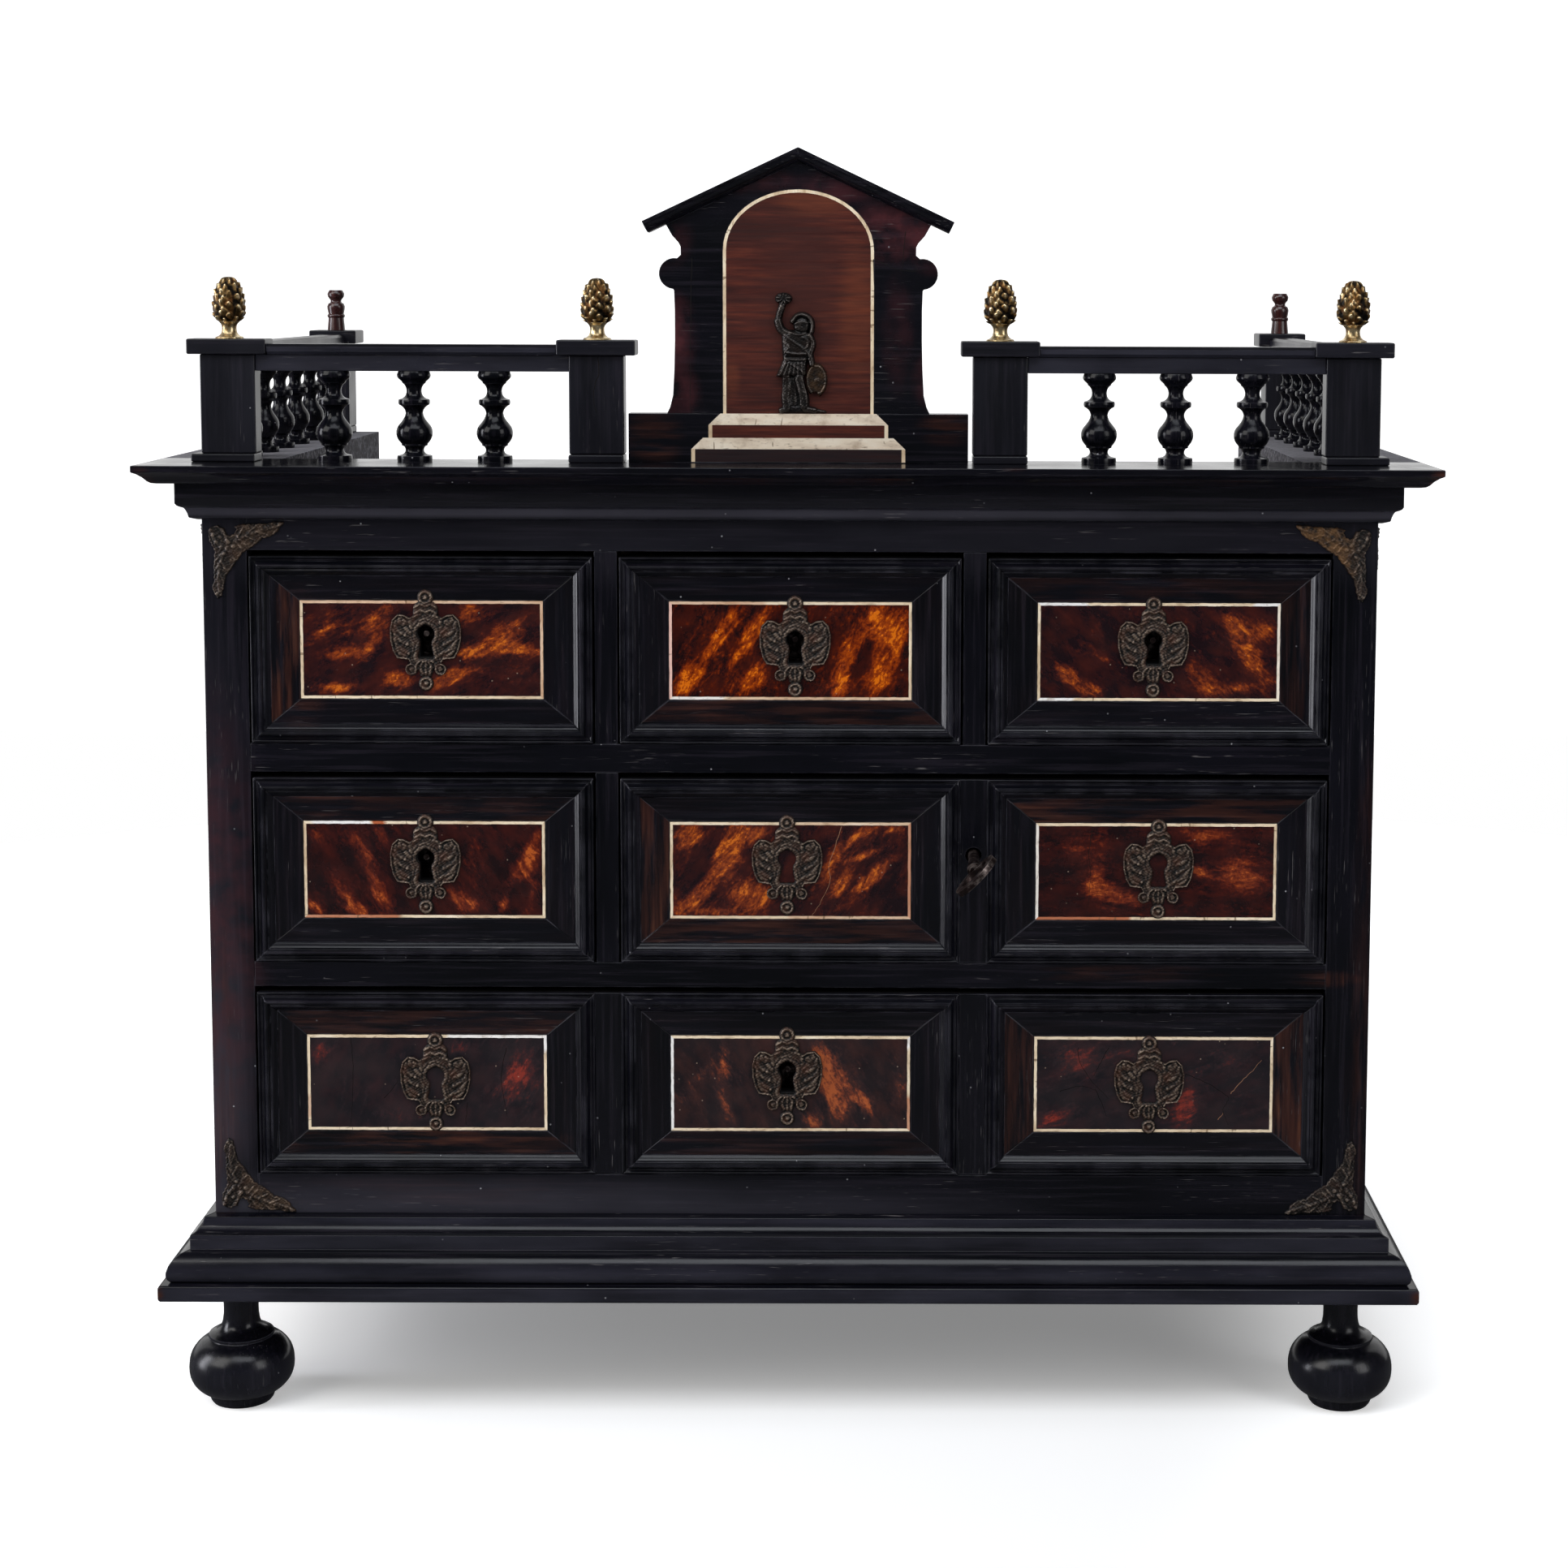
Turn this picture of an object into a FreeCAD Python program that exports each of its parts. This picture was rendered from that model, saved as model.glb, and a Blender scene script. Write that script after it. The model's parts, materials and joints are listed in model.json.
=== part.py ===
import FreeCAD, Part
import os
from math import pi, sin, cos, sqrt, radians

# Jewelry cabinet: a table cabinet of six drawers behind nine panelled fronts, on four ball feet,
# under a moulded cornice that carries a gallery of turned balusters and a gabled niche.
# Millimetres, +Z up, the fronts face -Y. Left and right are as the viewer sees them.

# Body
body_width = 640.0
body_depth = 320.0
body_bottom_z = 110.3
body_top_z = 498.0
stile_width = 24.2
stile_depth = 12.0
rail_depth = 24.0
side_thickness = 18.0
back_thickness = 8.0
top_board_thickness = 18.0
bottom_board_thickness = 14.0
muntin_width = 12.5

# Rows of drawers, from the bottom up
bottom_rail_height = 23.0
opening_height = 106.0
lower_mid_rail_height = 14.0
upper_mid_rail_height = 16.0
column_count = 3

# Plinth and feet
plinth_bottom_z = 68.7
plinth_top_z = 78.0
plinth_projection = 26.4
plinth_edge_round = 2.0
foot_inset = 37.0

# Tray on top: flat strips with a moulded outer edge
tray_floor_z = 503.0
cornice_top_z = 529.0
strip_inner_width = 37.0

# Gallery
gallery_setback = 17.0
corner_post_inset = 13.1
inner_post_gap = 2.4
rear_post_from_back = 15.0
pediment_shift = 4.0
front_post_width = 30.0
front_post_depth = 14.0
rear_post_width = 20.0
rear_post_depth = 24.0
base_block_height = 4.4
base_block_step = 4.6
post_height = 54.0
cap_height = 8.4
front_cap_width = 43.0
front_cap_depth = 20.0
rear_cap_width = 30.0
rear_cap_depth = 28.0
handrail_height = 5.7
handrail_width = 16.0
handrail_edge = 1.6
lower_rail_height = 9.0
lower_rail_width = 11.0
front_baluster_span_share = 0.515
side_baluster_span_share = 0.77
front_baluster_count = 3
side_baluster_count = 6
side_baluster_width_share = 0.85

# Pediment
pediment_plinth_width = 185.4
pediment_plinth_height = 27.0
pediment_plinth_depth = 14.0
pediment_board_depth = 10.0
pediment_board_setback = 1.0
pediment_board_height = 136.6
eave_half_span = 84.6
eave_drop = 40.0
roof_thickness = 7.4
roof_front_projection = 6.0
roof_back_projection = 2.0
roof_shares = [(0.0, 1.0), (0.17, 1.0), (0.2, 0.84), (0.34, 0.87), (0.52, 0.8), (0.7, 0.63), (0.86, 0.38),
               (0.96, 0.14), (1.0, 0.0)]
niche_half_width_share = 0.541
niche_spring_share = 0.648
niche_arch_rise_share = 0.2416
niche_pocket_depth = 1.5
arch_steps = 24
line_width = 1.7

# Steps drawn in bone on the pediment plinth
tread_count = 2
tread_top_half = 42.6
tread_drop = 6.2
tread_spread = 6.4
riser_drop = 7.0
tread_step_out = 3.0
end_strip_width = 2.0

# Drawers
front_side_gap = 1.2
front_top_gap = 3.2
front_lift = 0.3
core_setback = 2.5
core_thickness = 12.0
moulding_width = 10.5
veneer_thickness = 1.5
panel_side_margin = 26.7
panel_end_margin = 24.0
string_width = 1.8
drawer_side_thickness = 7.0
drawer_side_drop = 8.5
drawer_back_thickness = 8.0
drawer_floor_thickness = 5.0
drawer_back_gap = 37.5
side_clearance = 0.25
guide_height = 30.0
guide_back_gap = 12.0

# Escutcheons, locks and key
escutcheon_thickness = 2.4
keyhole_radius = 4.7
keyhole_slot_width = 7.2
keyhole_slot_drop = 13.0
keyhole_lift = 6.0
key_lift = 9.0
lock_width = 44.0
lock_depth = 8.0
lock_below_key = 16.0
lock_above_key = 30.0
lock_cavity_radius = 12.0
lock_wall = 1.5
pin_radius = 1.6
pin_setback = 1.0
key_lock_depth = 10.0
key_lock_below = 16.0
key_lock_top_gap = 2.2
key_hole_radius = 4.4
key_slot_width = 3.2
key_slot_drop = 10.4
key_bit_cavity_radius = 11.5
key_bit_cavity_start = 4.2
key_bit_cavity_depth = 4.6
bolt_width = 14.0
bolt_thickness = 3.0
bolt_front_gap = 0.6
bolt_clearance = 0.3
bolt_rise_over_axis = 7.0
bolt_top_gap = 0.7
bolt_throw = 6.5
mortise_side_gap = 1.0
key_turn_degrees = 134.0
key_shank_radius = 3.1
key_bore_radius = 2.1
key_bore_depth = 16.0
key_tip_past_bit = 0.2
key_shank_front = 40.0
key_bow_width = 27.5
key_bow_length = 25.0
key_bow_thickness = 3.2
key_bow_ring = 4.6
key_bow_seat = 3.4
key_collar_count = 2
key_collar_radius = 4.3
key_collar_length = 3.0
key_collar_gap = 5.0
key_bit_length = 6.2
key_bit_width = 3.4
key_bit_thickness = 2.0
key_reach = key_shank_front + key_bow_length

# The middle of the whole object, key counted, stands over the origin
front_y = -(body_depth - key_reach) / 2
back_y = front_y + body_depth
body_half = body_width / 2

# Shares of the cornice's projection and height, from its lip down to the body
cornice_projection = 30.0
cornice_shares = [
    (1.0, 0.884), (0.92, 0.848), (0.833, 0.784), (0.773, 0.719), (0.72, 0.684), (0.647, 0.671),
    (0.387, 0.671), (0.387, 0.31), (0.363, 0.271), (0.32, 0.245), (0.257, 0.219), (0.23, 0.177),
    (0.207, 0.123), (0.193, 0.068), (0.187, 0.042), (0.14, 0.029), (0.067, 0.006), (0.0, 0.0),
]

# Shares of the base moulding's projection and height: a cove over a flat band over a torus
base_moulding_projection = 22.8
base_moulding_height = 33.2
base_shares = [
    (0.0, 1.0), (0.228, 0.964), (0.241, 0.916), (0.276, 0.843), (0.342, 0.78), (0.43, 0.735), (0.513, 0.714),
    (0.513, 0.473), (0.57, 0.467), (0.715, 0.443), (0.851, 0.377), (0.947, 0.283), (0.996, 0.181),
    (1.0, 0.127), (0.969, 0.054), (0.904, 0.0), (0.0, 0.0),
]

# Shares of the drawer moulding's width and height: slope, groove, bead, cove and outer fillet
drawer_moulding_height = 5.6
drawer_moulding_shares = [
    (0.943, 0.393), (0.848, 0.536), (0.771, 0.714), (0.724, 0.768), (0.667, 0.696), (0.638, 0.786),
    (0.581, 0.946), (0.505, 1.0), (0.429, 0.946), (0.381, 0.804), (0.333, 0.571), (0.257, 0.429),
    (0.171, 0.429), (0.114, 0.554), (0.086, 0.607), (0.0, 0.589),
]

# Turned work as shares of its largest radius and its height: smooth runs that meet at sharp edges
foot_radius = 29.0
foot_shares = [
    [(0.566, 0.0), (0.603, 0.023), (0.607, 0.076)],
    [(0.607, 0.076), (0.814, 0.119), (0.972, 0.213), (1.0, 0.298), (0.952, 0.408), (0.814, 0.486),
     (0.641, 0.53)],
    [(0.641, 0.53), (0.621, 0.541)],
    [(0.621, 0.541), (0.617, 0.562)],
    [(0.617, 0.562), (0.583, 0.571)],
    [(0.583, 0.571), (0.455, 0.594), (0.372, 0.64), (0.338, 0.706), (0.334, 0.801), (0.341, 0.895)],
    [(0.341, 0.895), (0.379, 0.902), (0.386, 0.923)],
    [(0.386, 0.923), (0.414, 0.946), (0.462, 0.967), (0.517, 0.981), (0.572, 1.0)],
]
baluster_radius = 9.9
baluster_shares = [
    [(0.949, 0.0), (0.97, 0.032), (0.949, 0.065)],
    [(0.949, 0.065), (0.727, 0.075), (0.566, 0.095), (0.505, 0.128), (0.566, 0.162), (0.707, 0.178)],
    [(0.707, 0.178), (0.717, 0.196)],
    [(0.717, 0.196), (0.859, 0.229), (0.97, 0.275), (1.0, 0.324), (0.929, 0.381), (0.707, 0.439),
     (0.535, 0.492), (0.475, 0.538)],
    [(0.475, 0.538), (0.525, 0.575), (0.677, 0.611), (0.838, 0.63)],
    [(0.838, 0.63), (0.869, 0.658), (0.838, 0.688)],
    [(0.838, 0.688), (0.646, 0.7), (0.495, 0.725), (0.414, 0.777), (0.465, 0.83), (0.636, 0.868)],
    [(0.636, 0.868), (0.667, 0.885)],
    [(0.667, 0.885), (0.838, 0.915), (0.929, 0.949), (0.899, 0.978), (0.848, 1.0)],
]
pinecone_radius = 9.2
pinecone_height = 34.0
pinecone_shares = [
    [(0.804, 0.0), (0.815, 0.021)],
    [(0.815, 0.021), (0.63, 0.044), (0.478, 0.088), (0.424, 0.159), (0.467, 0.224), (0.609, 0.271)],
    [(0.609, 0.271), (0.75, 0.306), (0.935, 0.371), (1.0, 0.471), (0.957, 0.618), (0.815, 0.776),
     (0.587, 0.9), (0.326, 0.976), (0.0, 1.0)],
]
rear_finial_radius = 5.7
rear_finial_height = 25.9
rear_finial_shares = [
    [(0.98, 0.0), (0.965, 0.06)],
    [(0.965, 0.06), (0.93, 0.16), (0.895, 0.25), (0.86, 0.31)],
    [(0.86, 0.31), (0.965, 0.335), (0.965, 0.385), (0.86, 0.405)],
    [(0.86, 0.405), (0.92, 0.45), (0.98, 0.53), (1.0, 0.58), (0.94, 0.63), (0.84, 0.67)],
    [(0.84, 0.67), (0.63, 0.7), (0.6, 0.725), (0.62, 0.75), (0.75, 0.79), (0.9, 0.84)],
    [(0.9, 0.84), (0.95, 0.88), (0.94, 0.92)],
    [(0.94, 0.92), (0.74, 1.0)],
    [(0.74, 1.0), (0.0, 1.0)],
]

# Pediment board: shares of its half width across the scrolled ears and of its height to the ridge
pediment_half_width = 75.8
pediment_eave_share = 0.95
pediment_neck_shares = [(0.905, 0.707), (0.858, 0.678), (0.844, 0.662), (0.843, 0.63)]
pediment_side_shares = [
    (0.892, 0.489), (0.887, 0.41), (0.887, 0.293), (0.892, 0.176), (0.902, 0.073), (0.923, 0.026),
    (0.945, 0.0),
]
volute_height_share = 0.556
volute_radius = 8.4
volute_start_degrees = 100.0
volute_end_degrees = -85.0
volute_steps = 14

# Corner mount: a winged leaf bent round the corner, as shares of its reach along and up from that corner
mount_thickness = 2.4
mount_reach = 45.1
mount_rise = 43.0
side_mount_share = 0.62
mount_shares = [
    (0.186, 1.0), (0.235, 0.963), (0.262, 0.842), (0.286, 0.716), (0.359, 0.621), (0.426, 0.516),
    (0.488, 0.426), (0.596, 0.363), (0.678, 0.288), (0.727, 0.237), (0.838, 0.216), (0.909, 0.158),
    (0.949, 0.091), (1.0, 0.06), (0.989, 0.028), (0.887, 0.023), (0.798, 0.047), (0.678, 0.049),
    (0.497, 0.056), (0.404, 0.088), (0.421, 0.13), (0.39, 0.186), (0.337, 0.209), (0.293, 0.177),
    (0.275, 0.114), (0.182, 0.07), (0.106, 0.093), (0.08, 0.158), (0.091, 0.263), (0.155, 0.4),
    (0.146, 0.516), (0.135, 0.642), (0.146, 0.77), (0.115, 0.853), (0.133, 0.916), (0.155, 0.967),
]

# Escutcheon: half of the winged cartouche, as shares of its half width and height from the keyhole
escutcheon_half_width = 19.6
escutcheon_height = 55.8
cartouche_shares = [
    (0.224, 0.315), (0.337, 0.276), (0.352, 0.183), (0.439, 0.161), (0.592, 0.19), (0.776, 0.197),
    (0.939, 0.14), (1.0, 0.043), (0.99, -0.065), (0.918, -0.168), (0.806, -0.24), (0.49, -0.254),
    (0.408, -0.301), (0.224, -0.341), (0.153, -0.419),
]
top_lobe_radius = 4.5
top_lobe_share = 0.358
ring_radius = 4.1
ring_share = -0.487
low_lobe_radius = 3.4
low_lobe_shares = (0.403, -0.348)

# Relief figure in the niche: limbs as thick outlines, in shares of its height from the foot of the niche
figure_height_share = 0.48
figure_limb_thickness = 2.6
figure_body_thickness = 4.6
figure_body_shares = [
    [(-0.16, 0.009), (0.238, 0.009), (0.213, 0.04), (0.122, 0.055), (0.061, 0.079), (-0.046, 0.064),
     (-0.122, 0.046)],
    [(-0.177, 0.296), (0.098, 0.277), (0.082, 0.412), (-0.113, 0.418)],
    [(-0.116, 0.405), (0.076, 0.405), (0.113, 0.503), (0.116, 0.655), (0.03, 0.701), (-0.076, 0.704),
     (-0.137, 0.655), (-0.134, 0.503)],
]
figure_limb_shares = [
    [(-0.101, 0.037), (-0.037, 0.037), (-0.024, 0.183), (-0.006, 0.04), (0.061, 0.04), (0.076, 0.183),
     (0.085, 0.32), (-0.122, 0.32), (-0.113, 0.168)],
    [(-0.14, 0.625), (-0.088, 0.68), (-0.107, 0.762), (-0.082, 0.878), (-0.128, 0.887), (-0.162, 0.762)],
]
figure_head_shares = (0.037, 0.747, 0.079)
figure_shield_shares = (0.131, 0.259, 0.122)
figure_wreath_shares = (-0.11, 0.933, 0.067)

# Where each escutcheon sits off the centre of its front, as shares of the farthest: they were fitted by hand
keyhole_wander = 4.6
keyhole_offset_shares = {
    "top_left": (0.5, 0.59), "top_centre": (0.57, 0.0), "top_right": (-0.65, 0.04),
    "middle_left": (0.15, 0.11), "middle_centre": (-0.39, 0.15), "middle_right": (0.28, -0.2),
    "bottom_left": (1.0, -0.43), "bottom_centre": (-0.39, 0.35), "bottom_right": (-0.52, -0.57),
}
column_names = ["left", "centre", "right"]


def sized(shares, width, height):
    return [(x * width, z * height) for x, z in shares]


def face_of(points):
    corners = [FreeCAD.Vector(*point) for point in points]
    return Part.Face(Part.makePolygon(corners + corners[:1]))


def board(x_low, x_high, y_low, y_high, z_low, z_high):
    corner = FreeCAD.Vector(x_low, y_low, z_low)
    return Part.makeBox(x_high - x_low, y_high - y_low, z_high - z_low, corner)


def plate(outline, y_low, y_high):
    sheet = face_of([(x, y_low, z) for x, z in outline])
    return sheet.extrude(FreeCAD.Vector(0, y_high - y_low, 0))


def rod(x, z, radius, y_low, y_high):
    return Part.makeCylinder(radius, y_high - y_low, FreeCAD.Vector(x, y_low, z), FreeCAD.Vector(0, 1, 0))


def turned(run_shares, radius, height, x, y, z):
    edges = []
    for run in run_shares:
        points = [FreeCAD.Vector(out, 0, up) for out, up in sized(run, radius, height)]
        if len(points) == 2:
            edges.append(Part.makeLine(points[0], points[1]))
        else:
            curve = Part.BSplineCurve()
            curve.interpolate(points)
            edges.append(curve.toShape())
    first = edges[0].valueAt(edges[0].FirstParameter)
    last = edges[-1].valueAt(edges[-1].LastParameter)
    foot = FreeCAD.Vector(0, 0, 0)
    head = FreeCAD.Vector(0, 0, height)
    if last.x > 0:
        edges.append(Part.makeLine(last, head))
    edges.append(Part.makeLine(head, foot))
    edges.append(Part.makeLine(foot, first))
    section = Part.Face(Part.Wire(edges))
    solid = section.revolve(FreeCAD.Vector(0, 0, 0), FreeCAD.Vector(0, 0, 1), 360)
    solid.translate(FreeCAD.Vector(x, y, z))
    return solid


# A straight length of moulding. Its section is (v, w), it runs along u, and each end may be mitred.
def moulding_bar(section, start, start_slope, end, end_slope, origin, u_axis, v_axis, w_axis):
    def place(u, v, w):
        return origin + u_axis * u + v_axis * v + w_axis * w

    near = [place(start + start_slope * v, v, w) for v, w in section]
    far = [place(end + end_slope * v, v, w) for v, w in section]
    faces = [face_of(near), face_of(far)]
    for index in range(len(section)):
        following = (index + 1) % len(section)
        faces.append(face_of([near[index], far[index], far[following], near[following]]))
    solid = Part.makeSolid(Part.makeShell(faces))
    if solid.Volume < 0:
        solid.reverse()
    return solid


x_axis = FreeCAD.Vector(1, 0, 0)
y_axis = FreeCAD.Vector(0, 1, 0)
z_axis = FreeCAD.Vector(0, 0, 1)


# Four mitred lengths round a rectangle, seen from the front
def mitred_frame(section, x_centre, z_centre, width, height, y_back):
    half_w = width / 2
    half_h = height / 2
    forward = y_axis * -1
    sides = [
        (FreeCAD.Vector(x_centre - half_w, y_back, z_centre - half_h), x_axis, z_axis, width),
        (FreeCAD.Vector(x_centre + half_w, y_back, z_centre - half_h), z_axis, x_axis * -1, height),
        (FreeCAD.Vector(x_centre + half_w, y_back, z_centre + half_h), x_axis * -1, z_axis * -1, width),
        (FreeCAD.Vector(x_centre - half_w, y_back, z_centre + half_h), z_axis * -1, x_axis, height),
    ]
    return [moulding_bar(section, 0, 1, length, -1, origin, u_axis, v_axis, forward)
            for origin, u_axis, v_axis, length in sides]


# Four flat pieces between an outer and an inner rectangle, mitred corner to corner
def flat_frame(x_centre, z_centre, outer_w, outer_h, inner_w, inner_h, y_front, y_back):
    outer = [(-outer_w / 2, -outer_h / 2), (outer_w / 2, -outer_h / 2), (outer_w / 2, outer_h / 2),
             (-outer_w / 2, outer_h / 2)]
    inner = [(-inner_w / 2, -inner_h / 2), (inner_w / 2, -inner_h / 2), (inner_w / 2, inner_h / 2),
             (-inner_w / 2, inner_h / 2)]
    pieces = []
    for index in range(len(outer)):
        following = (index + 1) % len(outer)
        ring = [outer[index], outer[following], inner[following], inner[index]]
        pieces.append(plate([(x_centre + x, z_centre + z) for x, z in ring], y_front, y_back))
    return pieces


# Members of the cornice or base moulding: one across the front and one down each side
def wrapped_moulding(section, z_low):
    lift = FreeCAD.Vector(0, 0, z_low)
    front_origin = FreeCAD.Vector(0, front_y, 0) + lift
    left_origin = FreeCAD.Vector(-body_half, front_y, 0) + lift
    right_origin = FreeCAD.Vector(body_half, front_y, 0) + lift
    front = moulding_bar(section, -body_half, -1, body_half, 1, front_origin, x_axis, y_axis * -1, z_axis)
    left = moulding_bar(section, 0, -1, body_depth, 0, left_origin, y_axis, x_axis * -1, z_axis)
    right = moulding_bar(section, 0, -1, body_depth, 0, right_origin, y_axis, x_axis, z_axis)
    return [front, left, right]


def mirrored(outline):
    return [(-x, z) for x, z in outline]


def keyhole(x, z, y_low, y_high, radius, slot_width, slot_drop):
    slot = board(x - slot_width / 2, x + slot_width / 2, y_low, y_high, z - slot_drop, z)
    return rod(x, z, radius, y_low, y_high).fuse(slot)


os.makedirs("parts", exist_ok=True)


def save(name, solids):
    shape = solids[0] if len(solids) == 1 else Part.makeCompound(solids)
    shape.exportStep("parts/" + name + ".step")


# Levels of the rows
row_floors = {"bottom": body_bottom_z + bottom_rail_height}
row_floors["middle"] = row_floors["bottom"] + opening_height + lower_mid_rail_height
row_floors["top"] = row_floors["middle"] + opening_height + upper_mid_rail_height
top_opening_z = row_floors["top"] + opening_height
opening_width = (body_width - stile_width * 2 - muntin_width * (column_count - 1)) / column_count
front_width = opening_width - front_side_gap * 2
front_height = opening_height - front_lift - front_top_gap
panel_width = front_width - panel_side_margin * 2
panel_height = front_height - panel_end_margin * 2
column_pitch = opening_width + muntin_width
column_x = {"left": -column_pitch, "centre": 0.0, "right": column_pitch}
muntin_x = column_pitch / 2
inner_half = body_half - stile_width
carcass_inner_half = body_half - side_thickness
key_x = muntin_x
key_z = row_floors["middle"] + front_lift + front_height / 2 + key_lift

# Carcass boards
carcass_back_y = back_y - back_thickness
board_front_y = front_y + rail_depth
sides = []
for side in (-1, 1):
    xs = sorted([side * body_half, side * carcass_inner_half])
    sides.append(board(xs[0], xs[1], front_y + stile_depth, carcass_back_y, plinth_top_z, tray_floor_z))
save("carcass_sides", sides)
save("top_board", [board(-carcass_inner_half, carcass_inner_half, board_front_y, carcass_back_y,
                         tray_floor_z - top_board_thickness, tray_floor_z)])
save("bottom_board", [board(-carcass_inner_half, carcass_inner_half, board_front_y, carcass_back_y,
                            row_floors["bottom"] - bottom_board_thickness, row_floors["bottom"])])
save("back_panel", [board(-body_half, body_half, carcass_back_y, back_y, plinth_top_z, tray_floor_z)])

# Face frame: two stiles, four rails and three muntins, with a mortise for the bolt in the upper rail
frame_pieces = []
for side in (-1, 1):
    xs = sorted([side * body_half, side * inner_half])
    frame_pieces.append(board(xs[0], xs[1], front_y, front_y + stile_depth, plinth_top_z, tray_floor_z))
rail_levels = [
    (plinth_top_z, row_floors["bottom"]),
    (row_floors["middle"] - lower_mid_rail_height, row_floors["middle"]),
    (row_floors["top"] - upper_mid_rail_height, row_floors["top"]),
    (top_opening_z, tray_floor_z),
]
bolt_front_y = front_y + core_setback + core_thickness + bolt_front_gap
bolt_back_y = bolt_front_y + bolt_thickness
mortise_floor_z = row_floors["top"] - upper_mid_rail_height
mortise = board(key_x - bolt_width / 2 - mortise_side_gap, key_x + bolt_width / 2 + mortise_side_gap,
                bolt_front_y - mortise_side_gap, bolt_back_y + mortise_side_gap,
                mortise_floor_z, mortise_floor_z + bolt_throw)
for z_low, z_high in rail_levels:
    rail = board(-inner_half, inner_half, front_y, front_y + rail_depth, z_low, z_high)
    if z_low == mortise_floor_z:
        rail = rail.cut(mortise)
    frame_pieces.append(rail)
for x, row in ((-muntin_x, "top"), (muntin_x, "top"), (-muntin_x, "middle")):
    frame_pieces.append(board(x - muntin_width / 2, x + muntin_width / 2, front_y, front_y + rail_depth,
                              row_floors[row], row_floors[row] + opening_height))
save("face_frame", frame_pieces)

# Dust boards under the upper rows, partitions behind the muntins, and guides beside the outer drawers
dust_pieces = []
for z_low, z_high in rail_levels[1:3]:
    dust_pieces.append(board(-carcass_inner_half, carcass_inner_half, board_front_y, carcass_back_y,
                             z_low, z_high))
guide_back_y = carcass_back_y - guide_back_gap
for x, row in ((-muntin_x, "top"), (muntin_x, "top"), (-muntin_x, "middle")):
    ceiling = tray_floor_z - top_board_thickness if row == "top" else rail_levels[2][0]
    dust_pieces.append(board(x - muntin_width / 2, x + muntin_width / 2, board_front_y, guide_back_y,
                             row_floors[row], ceiling))
for row in row_floors:
    for side in (-1, 1):
        xs = sorted([side * inner_half, side * carcass_inner_half])
        dust_pieces.append(board(xs[0], xs[1], board_front_y, guide_back_y,
                                 row_floors[row], row_floors[row] + guide_height))
save("dust_boards", dust_pieces)

# Cornice, base moulding, plinth board and feet
cornice_height = cornice_top_z - body_top_z
cornice_section = [(-strip_inner_width, tray_floor_z - body_top_z), (-strip_inner_width, cornice_height),
                   (cornice_projection, cornice_height)]
cornice_section += sized(cornice_shares, cornice_projection, cornice_height)
cornice_section += [(0.0, tray_floor_z - body_top_z)]
save("cornice", wrapped_moulding(cornice_section, body_top_z))
base_section = sized(base_shares, base_moulding_projection, base_moulding_height)
save("base_moulding", wrapped_moulding(base_section, plinth_top_z))

plinth_half = body_half + plinth_projection
plinth_front_y = front_y - plinth_projection
plinth = board(-plinth_half, plinth_half, plinth_front_y, back_y, plinth_bottom_z, plinth_top_z)
outer_edges = [edge for edge in plinth.Edges
               if edge.BoundBox.ZMax - edge.BoundBox.ZMin < plinth_edge_round
               and edge.BoundBox.YMin < back_y - plinth_edge_round]
save("plinth_board", [plinth.makeFillet(plinth_edge_round, outer_edges)])

foot_positions = [(side * (plinth_half - foot_inset), y) for y in (plinth_front_y + foot_inset,
                  back_y - foot_inset) for side in (-1, 1)]
save("bun_feet", [turned(foot_shares, foot_radius, plinth_bottom_z, x, y, 0) for x, y in foot_positions])

# Gallery posts: a block, a square post and a flat cap each
gallery_y = front_y + gallery_setback
rear_post_y = back_y - rear_post_from_back
base_top_z = cornice_top_z + base_block_height
cap_bottom_z = base_top_z + post_height
cap_top_z = cap_bottom_z + cap_height
corner_post_x = body_half - corner_post_inset
inner_post_x = pediment_plinth_width / 2 + inner_post_gap + front_post_width / 2
front_posts_x = [-corner_post_x, pediment_shift - inner_post_x, pediment_shift + inner_post_x, corner_post_x]
post_pieces = []


def gallery_post(x, y, width, depth, cap_width, cap_depth, step_left, step_right, step_front):
    return [
        board(x - width / 2 - step_left, x + width / 2 + step_right, y - depth / 2 - step_front,
              y + depth / 2, cornice_top_z, base_top_z),
        board(x - width / 2, x + width / 2, y - depth / 2, y + depth / 2, base_top_z, cap_bottom_z),
        board(x - cap_width / 2, x + cap_width / 2, y - cap_depth / 2, y + cap_depth / 2, cap_bottom_z,
              cap_top_z),
    ]


for index, x in enumerate(front_posts_x):
    step_left = base_block_step if index == 0 else 0.0
    step_right = base_block_step if index == len(front_posts_x) - 1 else 0.0
    post_pieces += gallery_post(x, gallery_y, front_post_width, front_post_depth, front_cap_width,
                                front_cap_depth, step_left, step_right, base_block_step)
for side in (-1, 1):
    step_left = base_block_step if side < 0 else 0.0
    step_right = base_block_step if side > 0 else 0.0
    post_pieces += gallery_post(side * corner_post_x, rear_post_y, rear_post_width, rear_post_depth,
                                rear_cap_width, rear_cap_depth, step_left, step_right, 0.0)
save("gallery_posts", post_pieces)

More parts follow.
